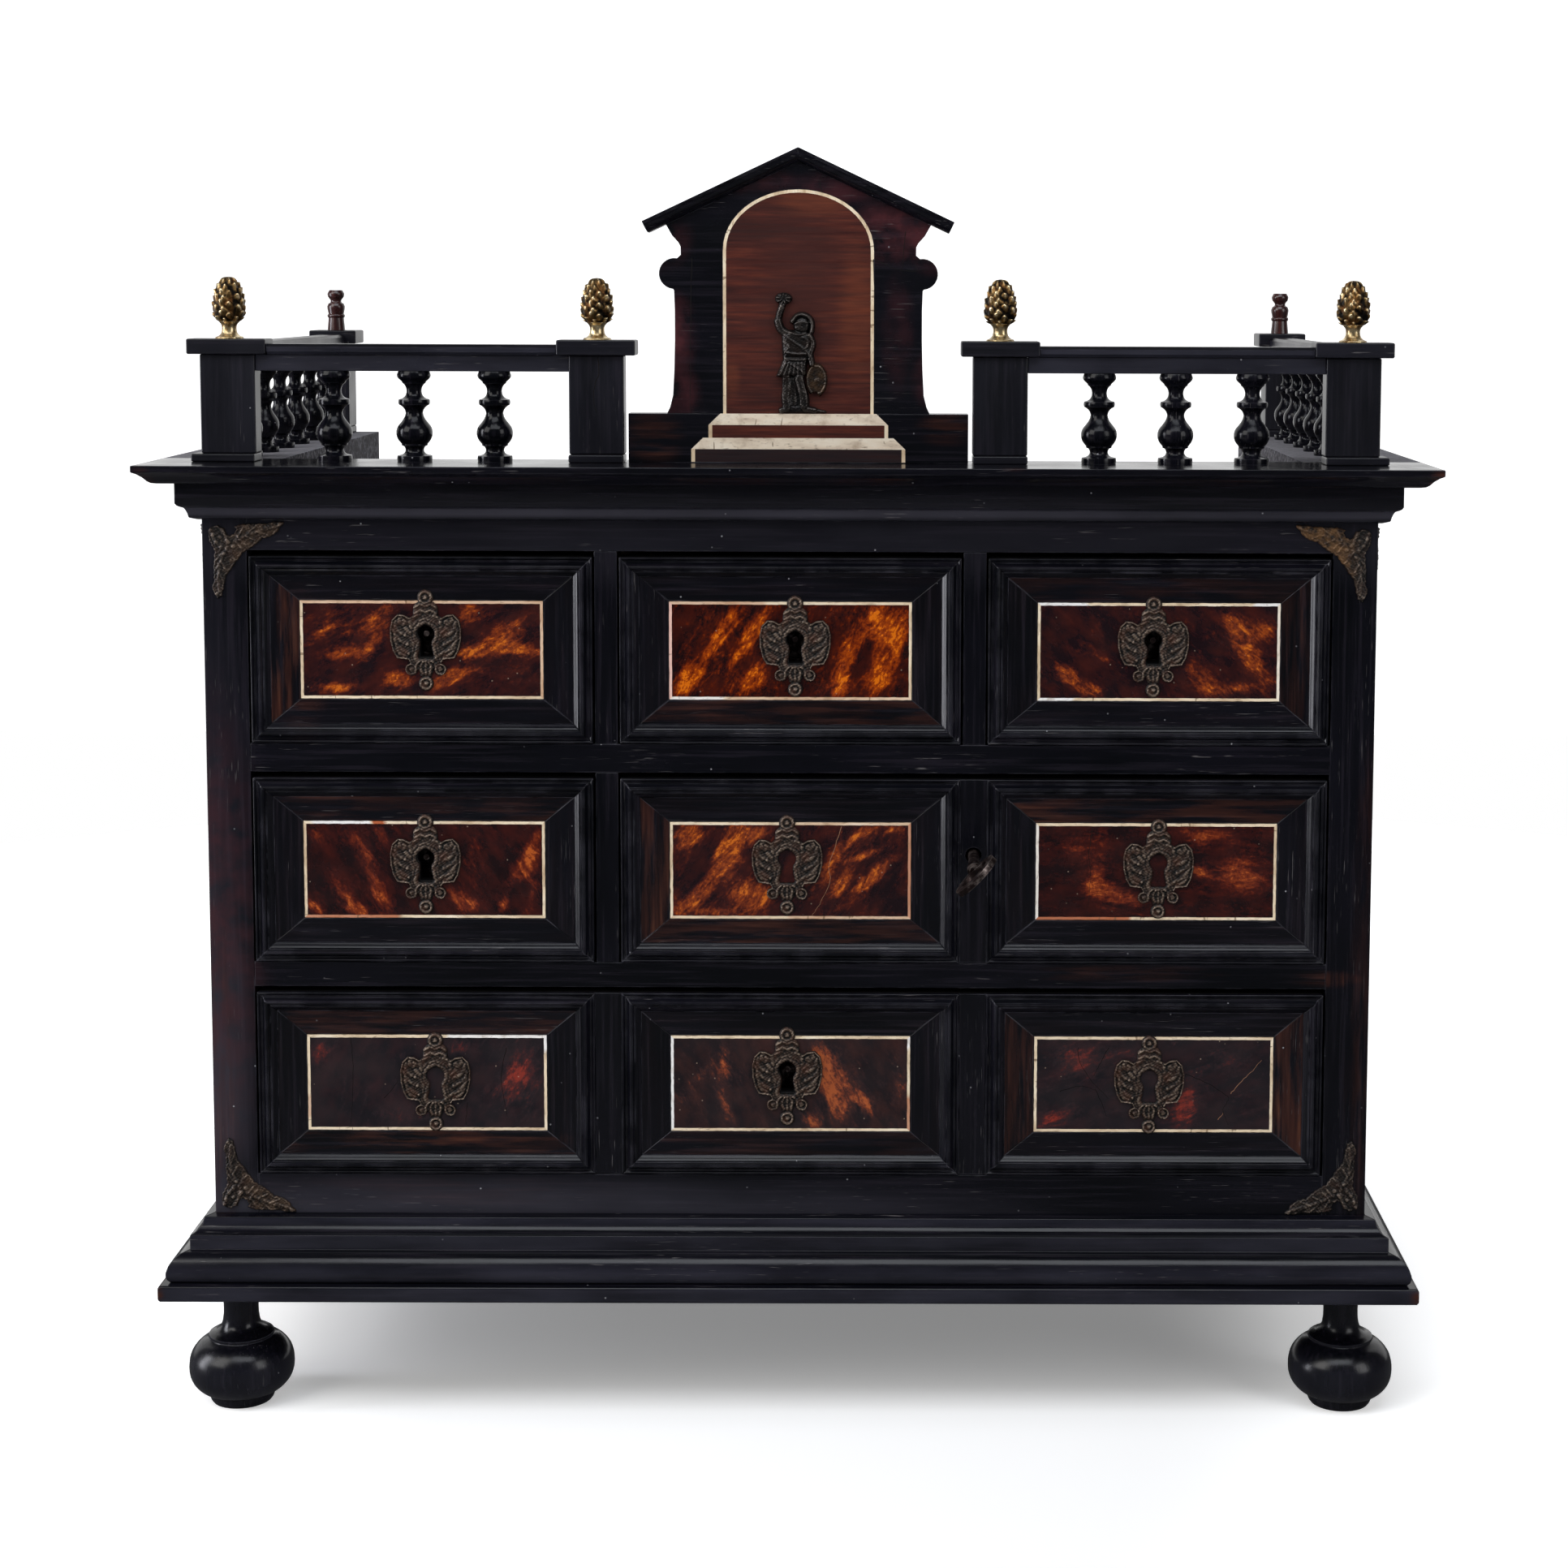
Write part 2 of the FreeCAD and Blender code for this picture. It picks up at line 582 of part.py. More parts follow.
# Gallery rails: a rounded handrail over a flat lower rail in each of the four bays
handrail_half = handrail_width / 2
handrail_section = [
    (-handrail_half, 0.0), (handrail_half - handrail_edge, 0.0), (handrail_half, handrail_edge),
    (handrail_half, handrail_height - handrail_edge), (handrail_half - handrail_edge, handrail_height),
    (-handrail_half + handrail_edge, handrail_height), (-handrail_half, handrail_height - handrail_edge),
]
rail_pieces = []
lower_rail_z = cap_bottom_z - lower_rail_height
front_bays = [(front_posts_x[0], front_posts_x[1]), (front_posts_x[2], front_posts_x[3])]
for x_left, x_right in front_bays:
    rail_pieces.append(moulding_bar(handrail_section, x_left + front_cap_width / 2, 0,
                                    x_right - front_cap_width / 2, 0,
                                    FreeCAD.Vector(0, gallery_y, cap_bottom_z), x_axis, y_axis * -1, z_axis))
    rail_pieces.append(board(x_left + front_post_width / 2, x_right - front_post_width / 2,
                             gallery_y - lower_rail_width / 2, gallery_y + lower_rail_width / 2,
                             lower_rail_z, cap_bottom_z))
for side in (-1, 1):
    x = side * corner_post_x
    rail_pieces.append(moulding_bar(handrail_section, gallery_y + front_cap_depth / 2, 0,
                                    rear_post_y - rear_cap_depth / 2, 0,
                                    FreeCAD.Vector(x, 0, cap_bottom_z), y_axis, x_axis * side, z_axis))
    rail_pieces.append(board(x - lower_rail_width / 2, x + lower_rail_width / 2,
                             gallery_y + front_post_depth / 2, rear_post_y - rear_post_depth / 2,
                             lower_rail_z, cap_bottom_z))
save("gallery_rails", rail_pieces)


# Balusters: three in each front bay, six slimmer ones down each side
def spread(middle, span, count):
    return [middle - span / 2 + span * index / (count - 1) for index in range(count)]


balusters = []
baluster_height = lower_rail_z - cornice_top_z
for x_left, x_right in front_bays:
    clear = x_right - x_left - front_post_width
    for place in spread((x_left + x_right) / 2, clear * front_baluster_span_share, front_baluster_count):
        balusters.append(turned(baluster_shares, baluster_radius, baluster_height, place, gallery_y,
                                cornice_top_z))
side_start_y = gallery_y + front_post_depth / 2
side_end_y = rear_post_y - rear_post_depth / 2
side_span = (side_end_y - side_start_y) * side_baluster_span_share
for side in (-1, 1):
    for place in spread((side_start_y + side_end_y) / 2, side_span, side_baluster_count):
        balusters.append(turned(baluster_shares, baluster_radius * side_baluster_width_share, baluster_height,
                                side * corner_post_x, place, cornice_top_z))
save("gallery_balusters", balusters)

save("pinecone_finials", [turned(pinecone_shares, pinecone_radius, pinecone_height, x, gallery_y, cap_top_z)
                          for x in front_posts_x])
save("turned_finials", [turned(rear_finial_shares, rear_finial_radius, rear_finial_height,
                               side * corner_post_x, rear_post_y, cap_top_z) for side in (-1, 1)])

# Pediment: plinth, gabled board with scrolled ears, and two mitred roof mouldings
pediment_z = cornice_top_z + pediment_plinth_height
plinth_face_y = gallery_y - pediment_plinth_depth / 2
board_face_y = plinth_face_y + pediment_board_setback
board_back_y = board_face_y + pediment_board_depth
roof_slope = eave_drop / eave_half_span
apex_z = pediment_z + pediment_board_height + roof_thickness
niche_half_width = pediment_half_width * niche_half_width_share
niche_spring_height = pediment_board_height * niche_spring_share
niche_arch_rise = pediment_board_height * niche_arch_rise_share
volute = []
for index in range(volute_steps + 1):
    angle = radians(volute_start_degrees + (volute_end_degrees - volute_start_degrees) * index / volute_steps)
    volute.append((pediment_half_width - volute_radius + volute_radius * cos(angle),
                   pediment_board_height * volute_height_share + volute_radius * sin(angle)))
eave_x = pediment_half_width * pediment_eave_share
half_outline = [(eave_x, pediment_board_height - eave_x * roof_slope)]
half_outline += sized(pediment_neck_shares, pediment_half_width, pediment_board_height)
half_outline += volute + sized(pediment_side_shares, pediment_half_width, pediment_board_height)
outline = [(0.0, pediment_board_height)] + half_outline + mirrored(half_outline[::-1])
gable = plate([(pediment_shift + x, pediment_z + z) for x, z in outline], board_face_y, board_back_y)


def arch(half_width, rise):
    points = [(-half_width, 0.0), (half_width, 0.0)]
    for index in range(arch_steps + 1):
        angle = pi * index / arch_steps
        points.append((half_width * cos(angle), niche_spring_height + rise * sin(angle)))
    return points


def niche_plate(half_width, rise):
    return plate([(pediment_shift + x, pediment_z + z) for x, z in arch(half_width, rise)],
                 board_face_y, board_face_y + niche_pocket_depth)


niche_outer = niche_plate(niche_half_width, niche_arch_rise)
niche_inner = niche_plate(niche_half_width - line_width, niche_arch_rise - line_width)
save("pediment_board", [gable.cut(niche_outer)])

# Steps: two treads, two risers and their end strips, let into the face of the plinth
step_face = (plinth_face_y, plinth_face_y + niche_pocket_depth)
bone_pieces = [niche_outer.cut(niche_inner)]
riser_pieces = [niche_inner]
level = pediment_z
half = tread_top_half
for index in range(tread_count):
    low = level - tread_drop
    wide = half + tread_spread
    tread = [(half, level), (wide, low), (-wide, low), (-half, level)]
    bone_pieces.append(plate([(pediment_shift + x, z) for x, z in tread], *step_face))
    riser_low = low - riser_drop
    riser_half = wide - end_strip_width
    riser_pieces.append(board(pediment_shift - riser_half, pediment_shift + riser_half, step_face[0],
                              step_face[1], riser_low, low))
    for side in (-1, 1):
        xs = sorted([side * wide, side * riser_half])
        bone_pieces.append(board(pediment_shift + xs[0], pediment_shift + xs[1], step_face[0], step_face[1],
                                 riser_low, low))
    level = riser_low
    half = wide + tread_step_out
step_cutters = bone_pieces[1:] + riser_pieces[1:]
pediment_plinth_half = pediment_plinth_width / 2
pediment_plinth = board(pediment_shift - pediment_plinth_half, pediment_shift + pediment_plinth_half,
                        plinth_face_y, plinth_face_y + pediment_plinth_depth, cornice_top_z, pediment_z)
for cutter in step_cutters:
    pediment_plinth = pediment_plinth.cut(cutter)
save("pediment_plinth", [pediment_plinth])
save("niche_inlay", bone_pieces)
save("niche_panel", riser_pieces)

roof_length = sqrt(eave_half_span ** 2 + eave_drop ** 2)
roof_depth = roof_thickness * eave_half_span / roof_length
roof_back = board_face_y - board_back_y - roof_back_projection
roof_section = sized(roof_shares, roof_depth, roof_front_projection)
roof_section += [(roof_depth, roof_back), (0.0, roof_back)]
apex = FreeCAD.Vector(pediment_shift, board_face_y, apex_z)
roof_pieces = []
for side in (-1, 1):
    down_slope = FreeCAD.Vector(side * eave_half_span, 0, -eave_drop) * (1 / roof_length)
    inward = FreeCAD.Vector(-side * eave_drop, 0, -eave_half_span) * (1 / roof_length)
    roof_pieces.append(moulding_bar(roof_section, 0, roof_slope, roof_length, 0, apex, down_slope, inward, -y_axis))
save("pediment_roof", roof_pieces)


# Relief figure, standing at the foot of the niche
figure_height = pediment_board_height * figure_height_share


def figure_plate(shares, thickness):
    placed = [(pediment_shift + x, pediment_z + z) for x, z in sized(shares, figure_height, figure_height)]
    return plate(placed, board_face_y - thickness, board_face_y)


def figure_disc(shares, thickness):
    x, z, radius = [share * figure_height for share in shares]
    return rod(pediment_shift + x, pediment_z + z, radius, board_face_y - thickness, board_face_y)


figure = figure_disc(figure_head_shares, figure_body_thickness)
figure = figure.fuse(figure_disc(figure_shield_shares, figure_body_thickness))
figure = figure.fuse(figure_disc(figure_wreath_shares, figure_limb_thickness))
for shares in figure_body_shares:
    figure = figure.fuse(figure_plate(shares, figure_body_thickness))
for shares in figure_limb_shares:
    figure = figure.fuse(figure_plate(shares, figure_limb_thickness))
save("niche_figure", [figure.removeSplitter()])

# Corner mounts: one on each corner of the front, and a smaller one on each side under the cornice
mount_pieces = []
mount_outline = sized(mount_shares, mount_reach, mount_rise)
for side in (-1, 1):
    for level, rise in ((body_bottom_z, 1), (body_top_z, -1)):
        placed = [(side * (body_half - x), level + rise * z) for x, z in mount_outline]
        mount_pieces.append(plate(placed, front_y - mount_thickness, front_y))
for side in (-1, 1):
    near_x = side * body_half
    ring = [(near_x, front_y + x * side_mount_share, body_top_z - z * side_mount_share)
            for x, z in mount_outline]
    outward = side * mount_thickness * side_mount_share
    mount_pieces.append(face_of(ring).extrude(FreeCAD.Vector(outward, 0, 0)))
save("corner_mounts", mount_pieces)

# Escutcheon casting, made once at the origin and copied
cartouche_half = sized(cartouche_shares, escutcheon_half_width, escutcheon_height)
casting = plate(cartouche_half + mirrored(cartouche_half[::-1]), -escutcheon_thickness, 0)
low_lobe_x = low_lobe_shares[0] * escutcheon_half_width
low_lobe_z = low_lobe_shares[1] * escutcheon_height
for x, z, radius in ((0, top_lobe_share * escutcheon_height, top_lobe_radius),
                     (0, ring_share * escutcheon_height, ring_radius),
                     (low_lobe_x, low_lobe_z, low_lobe_radius), (-low_lobe_x, low_lobe_z, low_lobe_radius)):
    casting = casting.fuse(rod(x, z, radius, -escutcheon_thickness, 0))
casting = casting.cut(keyhole(0, 0, -escutcheon_thickness * 2, escutcheon_thickness, keyhole_radius,
                              keyhole_slot_width, keyhole_slot_drop))
casting = casting.removeSplitter()

drawer_section = [(0.0, 0.0), (moulding_width, 0.0), (moulding_width, veneer_thickness)]
drawer_section += sized(drawer_moulding_shares, moulding_width, drawer_moulding_height)
core_front_y = front_y + core_setback
core_back_y = core_front_y + core_thickness
veneer_y = core_front_y - veneer_thickness
shell_width = panel_width - string_width * 2
shell_height = panel_height - string_width * 2


def keyhole_place(row, column, z_mid):
    shares = keyhole_offset_shares[row + "_" + column]
    return column_x[column] + shares[0] * keyhole_wander, z_mid + keyhole_lift + shares[1] * keyhole_wander


def lock_case(x, z, low, high, depth):
    case = board(x - lock_width / 2, x + lock_width / 2, core_back_y, core_back_y + depth, z - low, z + high)
    hollow = rod(x, z, lock_cavity_radius, core_back_y, core_back_y + depth - lock_wall)
    return case.cut(hollow)


def key_lock(x, z, z_top):
    case = board(x - lock_width / 2, x + lock_width / 2, core_back_y, core_back_y + key_lock_depth,
                 z - key_lock_below, z_top)
    start = core_back_y + key_bit_cavity_start
    case = case.cut(rod(x, z, key_bit_cavity_radius, start, start + key_bit_cavity_depth))
    case = case.cut(keyhole(x, z, core_back_y, start, key_hole_radius, key_slot_width, key_slot_drop))
    slot = board(x - bolt_width / 2 - bolt_clearance, x + bolt_width / 2 + bolt_clearance,
                 bolt_front_y - bolt_clearance, bolt_back_y + bolt_clearance,
                 z + bolt_rise_over_axis - bolt_clearance, z_top)
    return case.cut(slot)


# One drawer: box, facing, shell panels, bone lines, escutcheons and lock
def drawer(name, row, columns, lock_column):
    floor = row_floors[row] + front_lift
    z_mid = floor + front_height / 2
    xs = [column_x[column] for column in columns]
    x_low = xs[0] - front_width / 2
    x_high = xs[-1] + front_width / 2
    side_low = x_low + side_clearance
    side_high = x_high - side_clearance
    back_end_y = carcass_back_y - drawer_back_gap
    side_top_z = floor + front_height - drawer_side_drop
    holes = []
    lock_pieces = []
    if lock_column:
        hole_x, hole_z = keyhole_place(row, lock_column, z_mid)
        holes.append(keyhole(hole_x, hole_z, veneer_y, core_back_y, keyhole_radius, keyhole_slot_width,
                             keyhole_slot_drop))
        case = lock_case(hole_x, hole_z, lock_below_key, lock_above_key, lock_depth)
        pin_back_y = core_back_y + lock_depth - lock_wall
        pin = rod(hole_x, hole_z, pin_radius, core_front_y + pin_setback, pin_back_y)
        lock_pieces += [case, pin]
    else:
        holes.append(keyhole(key_x, key_z, front_y - core_setback, core_back_y, key_hole_radius,
                             key_slot_width, key_slot_drop))
        case_top = floor + front_height - key_lock_top_gap
        pin_back_y = core_back_y + key_bit_cavity_start + key_bit_cavity_depth
        pin = rod(key_x, key_z, pin_radius, core_back_y - pin_setback, pin_back_y)
        lock_pieces += [key_lock(key_x, key_z, case_top), pin]
    core = board(x_low, x_high, core_front_y, core_back_y, floor, floor + front_height)
    for hole in holes:
        core = core.cut(hole)
    box = [core]
    for outer, inner in ((side_low, side_low + drawer_side_thickness),
                         (side_high - drawer_side_thickness, side_high)):
        box.append(board(outer, inner, core_back_y, back_end_y, floor, side_top_z))
    inside_low = side_low + drawer_side_thickness
    inside_high = side_high - drawer_side_thickness
    box.append(board(inside_low, inside_high, back_end_y - drawer_back_thickness, back_end_y, floor,
                     side_top_z))
    box.append(board(inside_low, inside_high, core_back_y, back_end_y - drawer_back_thickness, floor,
                     floor + drawer_floor_thickness))
    save(name + "_box", box)
    facing = []
    shells = []
    lines = []
    plates = []
    for column in columns:
        x = column_x[column]
        facing += mitred_frame(drawer_section, x, z_mid, front_width, front_height, core_front_y)
        facing += flat_frame(x, z_mid, front_width - moulding_width * 2, front_height - moulding_width * 2,
                             panel_width, panel_height, veneer_y, core_front_y)
        lines += flat_frame(x, z_mid, panel_width, panel_height, shell_width, shell_height, veneer_y,
                            core_front_y)
        shell = board(x - shell_width / 2, x + shell_width / 2, veneer_y, core_front_y,
                      z_mid - shell_height / 2, z_mid + shell_height / 2)
        if column == lock_column:
            shell = shell.cut(holes[0])
        shells.append(shell)
        plate_x, plate_z = keyhole_place(row, column, z_mid)
        copy = casting.copy()
        copy.translate(FreeCAD.Vector(plate_x, veneer_y, plate_z))
        plates.append(copy)
    for first, second in zip(xs, xs[1:]):
        strip = board(first + front_width / 2, second - front_width / 2, front_y, core_front_y, floor,
                      floor + front_height)
        if not lock_column and first < key_x < second:
            strip = strip.cut(holes[0])
        facing.append(strip)
    save(name + "_facing", facing)
    save(name + "_shell", shells)
    save(name + "_stringing", lines)
    save(name + "_escutcheon", plates)
    save(name + "_lock", lock_pieces)


for column in column_names:
    drawer("drawer_top_" + column, "top", [column], column)
drawer("drawer_middle_left", "middle", ["left"], "left")
drawer("drawer_middle_double", "middle", ["centre", "right"], None)
drawer("drawer_bottom", "bottom", column_names, "centre")

# Bolt of the double drawer, drawn back into its lock
bolt_top_z = row_floors["middle"] + front_lift + front_height - bolt_top_gap
save("lock_bolt", [board(key_x - bolt_width / 2, key_x + bolt_width / 2, bolt_front_y, bolt_back_y,
                         key_z + bolt_rise_over_axis, bolt_top_z)])

# Key: a piped shank with two collars, a ring bow and a bit, turned as the photo shows it
bit_y = core_back_y + key_bit_cavity_start + (key_bit_cavity_depth - key_bit_width) / 2
tip_y = bit_y + key_bit_width + key_tip_past_bit
bow_root_y = front_y - key_shank_front
bow_front_y = bow_root_y - key_bow_length
shank = rod(0, 0, key_shank_radius, bow_root_y - key_bow_seat, tip_y)
for index in range(key_collar_count):
    collar_y = bow_root_y + index * key_collar_gap
    shank = shank.fuse(rod(0, 0, key_collar_radius, collar_y, collar_y + key_collar_length))
bow_centre = FreeCAD.Vector(0, (bow_front_y + bow_root_y) / 2, 0)
bow_half_width = key_bow_width / 2
bow_half_length = key_bow_length / 2
outer_bow = Part.Ellipse(bow_centre, bow_half_width, bow_half_length).toShape()
inner_bow = Part.Ellipse(bow_centre, bow_half_width - key_bow_ring, bow_half_length - key_bow_ring).toShape()
bow = Part.Face(Part.Wire([outer_bow])).extrude(FreeCAD.Vector(0, 0, key_bow_thickness))
bow = bow.cut(Part.Face(Part.Wire([inner_bow])).extrude(FreeCAD.Vector(0, 0, key_bow_thickness)))
bow.translate(FreeCAD.Vector(0, 0, -key_bow_thickness / 2))
bit = board(0, key_shank_radius + key_bit_length, bit_y, bit_y + key_bit_width, -key_bit_thickness / 2,
            key_bit_thickness / 2)
key = shank.fuse(bow).fuse(bit)
key = key.cut(rod(0, 0, key_bore_radius, tip_y - key_bore_depth, tip_y))
key = key.removeSplitter()
key.rotate(FreeCAD.Vector(0, 0, 0), FreeCAD.Vector(0, 1, 0), key_turn_degrees)
key.translate(FreeCAD.Vector(key_x, 0, key_z))
save("key", [key])
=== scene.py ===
import json
import math
import random

import bmesh
import bpy
import numpy as np
from mathutils import Matrix, Vector

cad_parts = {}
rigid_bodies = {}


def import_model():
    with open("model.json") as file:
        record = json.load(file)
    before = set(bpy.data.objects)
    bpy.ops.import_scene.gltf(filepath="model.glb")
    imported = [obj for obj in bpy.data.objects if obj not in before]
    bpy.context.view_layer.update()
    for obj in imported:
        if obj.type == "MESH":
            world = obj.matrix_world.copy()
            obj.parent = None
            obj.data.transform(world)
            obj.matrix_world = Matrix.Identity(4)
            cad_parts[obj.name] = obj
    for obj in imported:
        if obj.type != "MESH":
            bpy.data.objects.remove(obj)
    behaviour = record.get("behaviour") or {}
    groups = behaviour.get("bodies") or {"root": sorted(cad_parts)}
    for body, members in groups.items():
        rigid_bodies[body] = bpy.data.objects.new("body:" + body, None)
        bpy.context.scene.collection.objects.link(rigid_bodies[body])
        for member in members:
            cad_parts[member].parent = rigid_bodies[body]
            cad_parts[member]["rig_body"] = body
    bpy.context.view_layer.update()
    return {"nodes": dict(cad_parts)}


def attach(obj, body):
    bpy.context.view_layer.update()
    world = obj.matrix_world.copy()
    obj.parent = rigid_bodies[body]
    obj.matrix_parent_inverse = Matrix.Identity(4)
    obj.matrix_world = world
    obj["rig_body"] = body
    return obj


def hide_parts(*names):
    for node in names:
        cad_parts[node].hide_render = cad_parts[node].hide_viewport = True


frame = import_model()

MM = 0.001
COLLECTION = bpy.context.scene.collection

# Where the photograph was taken from
CAMERA_PLACE = (0.0568, -1.6147, 0.6253)
CAMERA_PITCH = math.radians(5.456)
CAMERA_YAW = math.radians(-0.158)
CAMERA_ROLL = math.radians(0.211)
CAMERA_LENS = 63.02
CAMERA_SHIFT = (-0.0754, -0.15)


def add_camera():
    data = bpy.data.cameras.new("camera")
    data.lens = CAMERA_LENS
    data.sensor_width = 36.0
    data.shift_x, data.shift_y = CAMERA_SHIFT
    data.clip_start = 0.05
    camera = bpy.data.objects.new("camera", data)
    COLLECTION.objects.link(camera)
    level = math.cos(CAMERA_PITCH)
    forward = Vector((-math.sin(CAMERA_YAW) * level, math.cos(CAMERA_YAW) * level, -math.sin(CAMERA_PITCH)))
    right = forward.cross(Vector((0, 0, 1))).normalized()
    up = right.cross(forward).normalized()
    rolled = right * math.cos(CAMERA_ROLL) + up * math.sin(CAMERA_ROLL)
    up = rolled.cross(forward).normalized()
    turn = Matrix((rolled, up, -forward)).transposed()
    camera.matrix_world = Matrix.Translation(CAMERA_PLACE) @ turn.to_4x4()
    bpy.context.scene.camera = camera


# Materials: short ways to shader nodes
def numbered(values):
    return {"i%d" % place: value for place, value in enumerate(values)}


def add_node(tree, kind, settings=None, **inputs):
    """Adds a shader node. Its inputs go by their names, or by their numbers as i0, i1 and so on."""
    made = tree.nodes.new("ShaderNode" + kind)
    for name, value in (settings or {}).items():
        setattr(made, name, value)
    for name, value in inputs.items():
        socket = made.inputs[int(name[1:])] if name[1:].isdigit() else made.inputs[name]
        if isinstance(value, bpy.types.NodeSocket):
            tree.links.new(value, socket)
        else:
            socket.default_value = value
    return made


def tint(red, green, blue):
    """Colour as the screen writes it, 0 to 255, turned into light."""
    return tuple(((c / 255 + 0.055) / 1.055) ** 2.4 if c > 10.3 else c / 255 / 12.92
                 for c in (red, green, blue))


def dimmed(colour, share):
    return tuple(c * share for c in tint(*colour))


class Finish:
    """A material being built: its shader, the colour painted so far, and short ways to the nodes it needs."""

    def __init__(self, name, **shader_values):
        self.material = bpy.data.materials.new(name)
        self.material.use_nodes = True
        self.tree = self.material.node_tree
        self.shader = self.tree.nodes["Principled BSDF"]
        for key, value in shader_values.items():
            self.shader.inputs[key.replace("_", " ")].default_value = value

    def node(self, kind, settings=None, **inputs):
        return add_node(self.tree, kind, settings, **inputs)

    def attribute(self, name, kind="Vector"):
        return self.node("Attribute", {"attribute_name": name}).outputs[kind]

    def vector(self, operation, *values, result="Vector"):
        return self.node("VectorMath", {"operation": operation}, **numbered(values)).outputs[result]

    def math(self, operation, *values):
        return self.node("Math", {"operation": operation}, **numbered(values)).outputs[0]

    def times(self, a, b):
        return self.math("MULTIPLY", a, b)

    def plus(self, a, b):
        return self.math("ADD", a, b)

    def part(self, vector, axis):
        return self.node("SeparateXYZ", Vector=vector).outputs[axis]

    def noise(self, vector, scale, detail=4.0, rough=0.55, distortion=0.0):
        return self.node("TexNoise", Vector=vector, Scale=scale, Detail=detail, Roughness=rough,
                         Distortion=distortion).outputs["Fac"]

    def streaks(self, vector, scales, detail=4.0, **more):
        """Noise with a scale of its own along each axis."""
        return self.noise(self.vector("MULTIPLY", vector, scales), 1.0, detail, **more)

    def cells(self, vector, scale):
        return self.node("TexVoronoi", Vector=vector, Scale=scale).outputs["Distance"]

    def remap(self, value, low, high, out_low=0.0, out_high=1.0, smooth=False):
        settings = {"interpolation_type": "SMOOTHSTEP"} if smooth else None
        limits = {"From Min": low, "From Max": high, "To Min": out_low, "To Max": out_high}
        return self.node("MapRange", settings, Value=value, **limits).outputs["Result"]

    def patches(self, vector, scale, detail, *limits):
        return self.remap(self.noise(vector, scale, detail), *limits)

    def ramp(self, value, stops):
        """Colours along a value: each stop is a place and a screen colour."""
        made = self.node("ValToRGB", Fac=value)
        elements = made.color_ramp.elements
        elements.remove(elements[-1])
        elements[0].position = stops[0][0]
        elements[0].color = (*tint(*stops[0][1:]), 1.0)
        for place, *colour in stops[1:]:
            elements.new(place).color = (*tint(*colour), 1.0)
        return made.outputs["Color"]

    def blend(self, share, low, high):
        low, high = ((*colour, 1.0) if isinstance(colour, tuple) else colour for colour in (low, high))
        return self.node("Mix", {"data_type": "RGBA"}, i0=share, i6=low, i7=high).outputs[2]

    def paint(self, share, colour):
        """Lays a colour over what is painted so far."""
        self.colour = self.blend(share, self.colour, colour)

    def bump(self, height, distance, strength=1.0, **under):
        made = self.node("Bump", Height=height, Distance=distance, Strength=strength, **under)
        return made.outputs["Normal"]

    def edges(self, radius):
        """1 along outer and inner edges, 0 on the open faces."""
        soft = self.node("Bevel", {"samples": 4}, Radius=radius).outputs[0]
        sharp = self.node("NewGeometry").outputs["Normal"]
        return self.remap(self.vector("DOT_PRODUCT", soft, sharp, result="Value"), 0.995, 0.85)

    def near(self, place, centre, reach):
        """1 at a place on the object, fading to 0 at its reach, both in millimetres."""
        shifted = self.vector("SUBTRACT", place, tuple(c * MM for c in centre))
        shares = self.vector("MULTIPLY", shifted, tuple(1 / (r * MM) for r in reach))
        return self.remap(self.vector("LENGTH", shares, result="Value"), 1.0, 0.25, smooth=True)

    def paint_spots(self, place, spots, cloud, limits, thin, colour):
        """Lays a colour over each spot, down to a thin share of its strength where the cloud is low."""
        for centre, reach, strength in spots:
            film = self.remap(cloud, *limits, thin * strength, strength)
            self.paint(self.times(self.near(place, centre, reach), film), colour)

    def out(self, **links):
        for key, value in dict(links, Base_Color=self.colour).items():
            self.tree.links.new(value, self.shader.inputs[key.replace("_", " ")])
        return self.material


# Places in the finish, in millimetres: centre, reach and strength.
# Here ebonised wood is rubbed through to brown
WORN_PLACES = [
    ((349, -155, 524), (9, 20, 9), 1.0), ((346.5, -150, 72), (7, 30, 12), 1.0),
    ((-346.5, -150, 72), (5, 30, 10), 1.0), ((-315, -128, 190), (14, 10, 120), 0.3),
    ((317, -128, 200), (12, 10, 130), 0.26), ((318, -128, 300), (10, 10, 100), 0.22),
    ((180, -128, 248), (70, 10, 6), 0.4), ((-345, -150, 522), (8, 20, 10), 0.5),
    ((300, -128, 245), (30, 10, 6), 0.5), ((-75, -118, 543), (20, 10, 20), 0.45),
    ((85, -118, 548), (20, 10, 12), 0.5), ((120, -157, 531), (12, 10, 4), 0.8),
    ((-200, -128, 123), (130, 10, 13), 0.12), ((-195, -128, 153), (85, 20, 9.5), 1.0),
    ((-267, -128, 420), (20, 10, 50), 0.5),
]

# Here it has gone hazy, and the thin band across the whole width at the cornice's cove is a painted
# reflection of the floor
HAZE_AND_SHEEN_PLACES = [
    ((0, -140, 488), (1200, 80, 34), 0.24), ((0, -135, 502.8), (3000, 50, 3.4), 0.9),
    ((-200, -128, 106), (420, 20, 34), 0.72), ((-330, -128, 280), (45, 20, 300), 0.34),
    ((-330, -128, 190), (40, 20, 120), 0.85),
]

# Dark red clouds in the left stile, and in the veneer of the pediment board
STILE_CLOUDS = [((-325, -128, 270), (45, 20, 170), 0.45)]
PLUM_PLACES = [
    ((55, -117, 655), (30, 20, 22), 1.0), ((78, -117, 648), (20, 20, 20), 0.7),
    ((25, -117, 678), (30, 20, 12), 0.6), ((-66, -117, 598), (18, 20, 30), 0.9),
    ((-60, -117, 565), (14, 20, 20), 0.6), ((-70, -117, 650), (20, 20, 20), 0.4),
    ((-20, -117, 682), (30, 20, 10), 0.5), ((75, -117, 575), (12, 20, 20), 0.5),
    ((58, -117, 600), (12, 20, 40), 0.3),
]

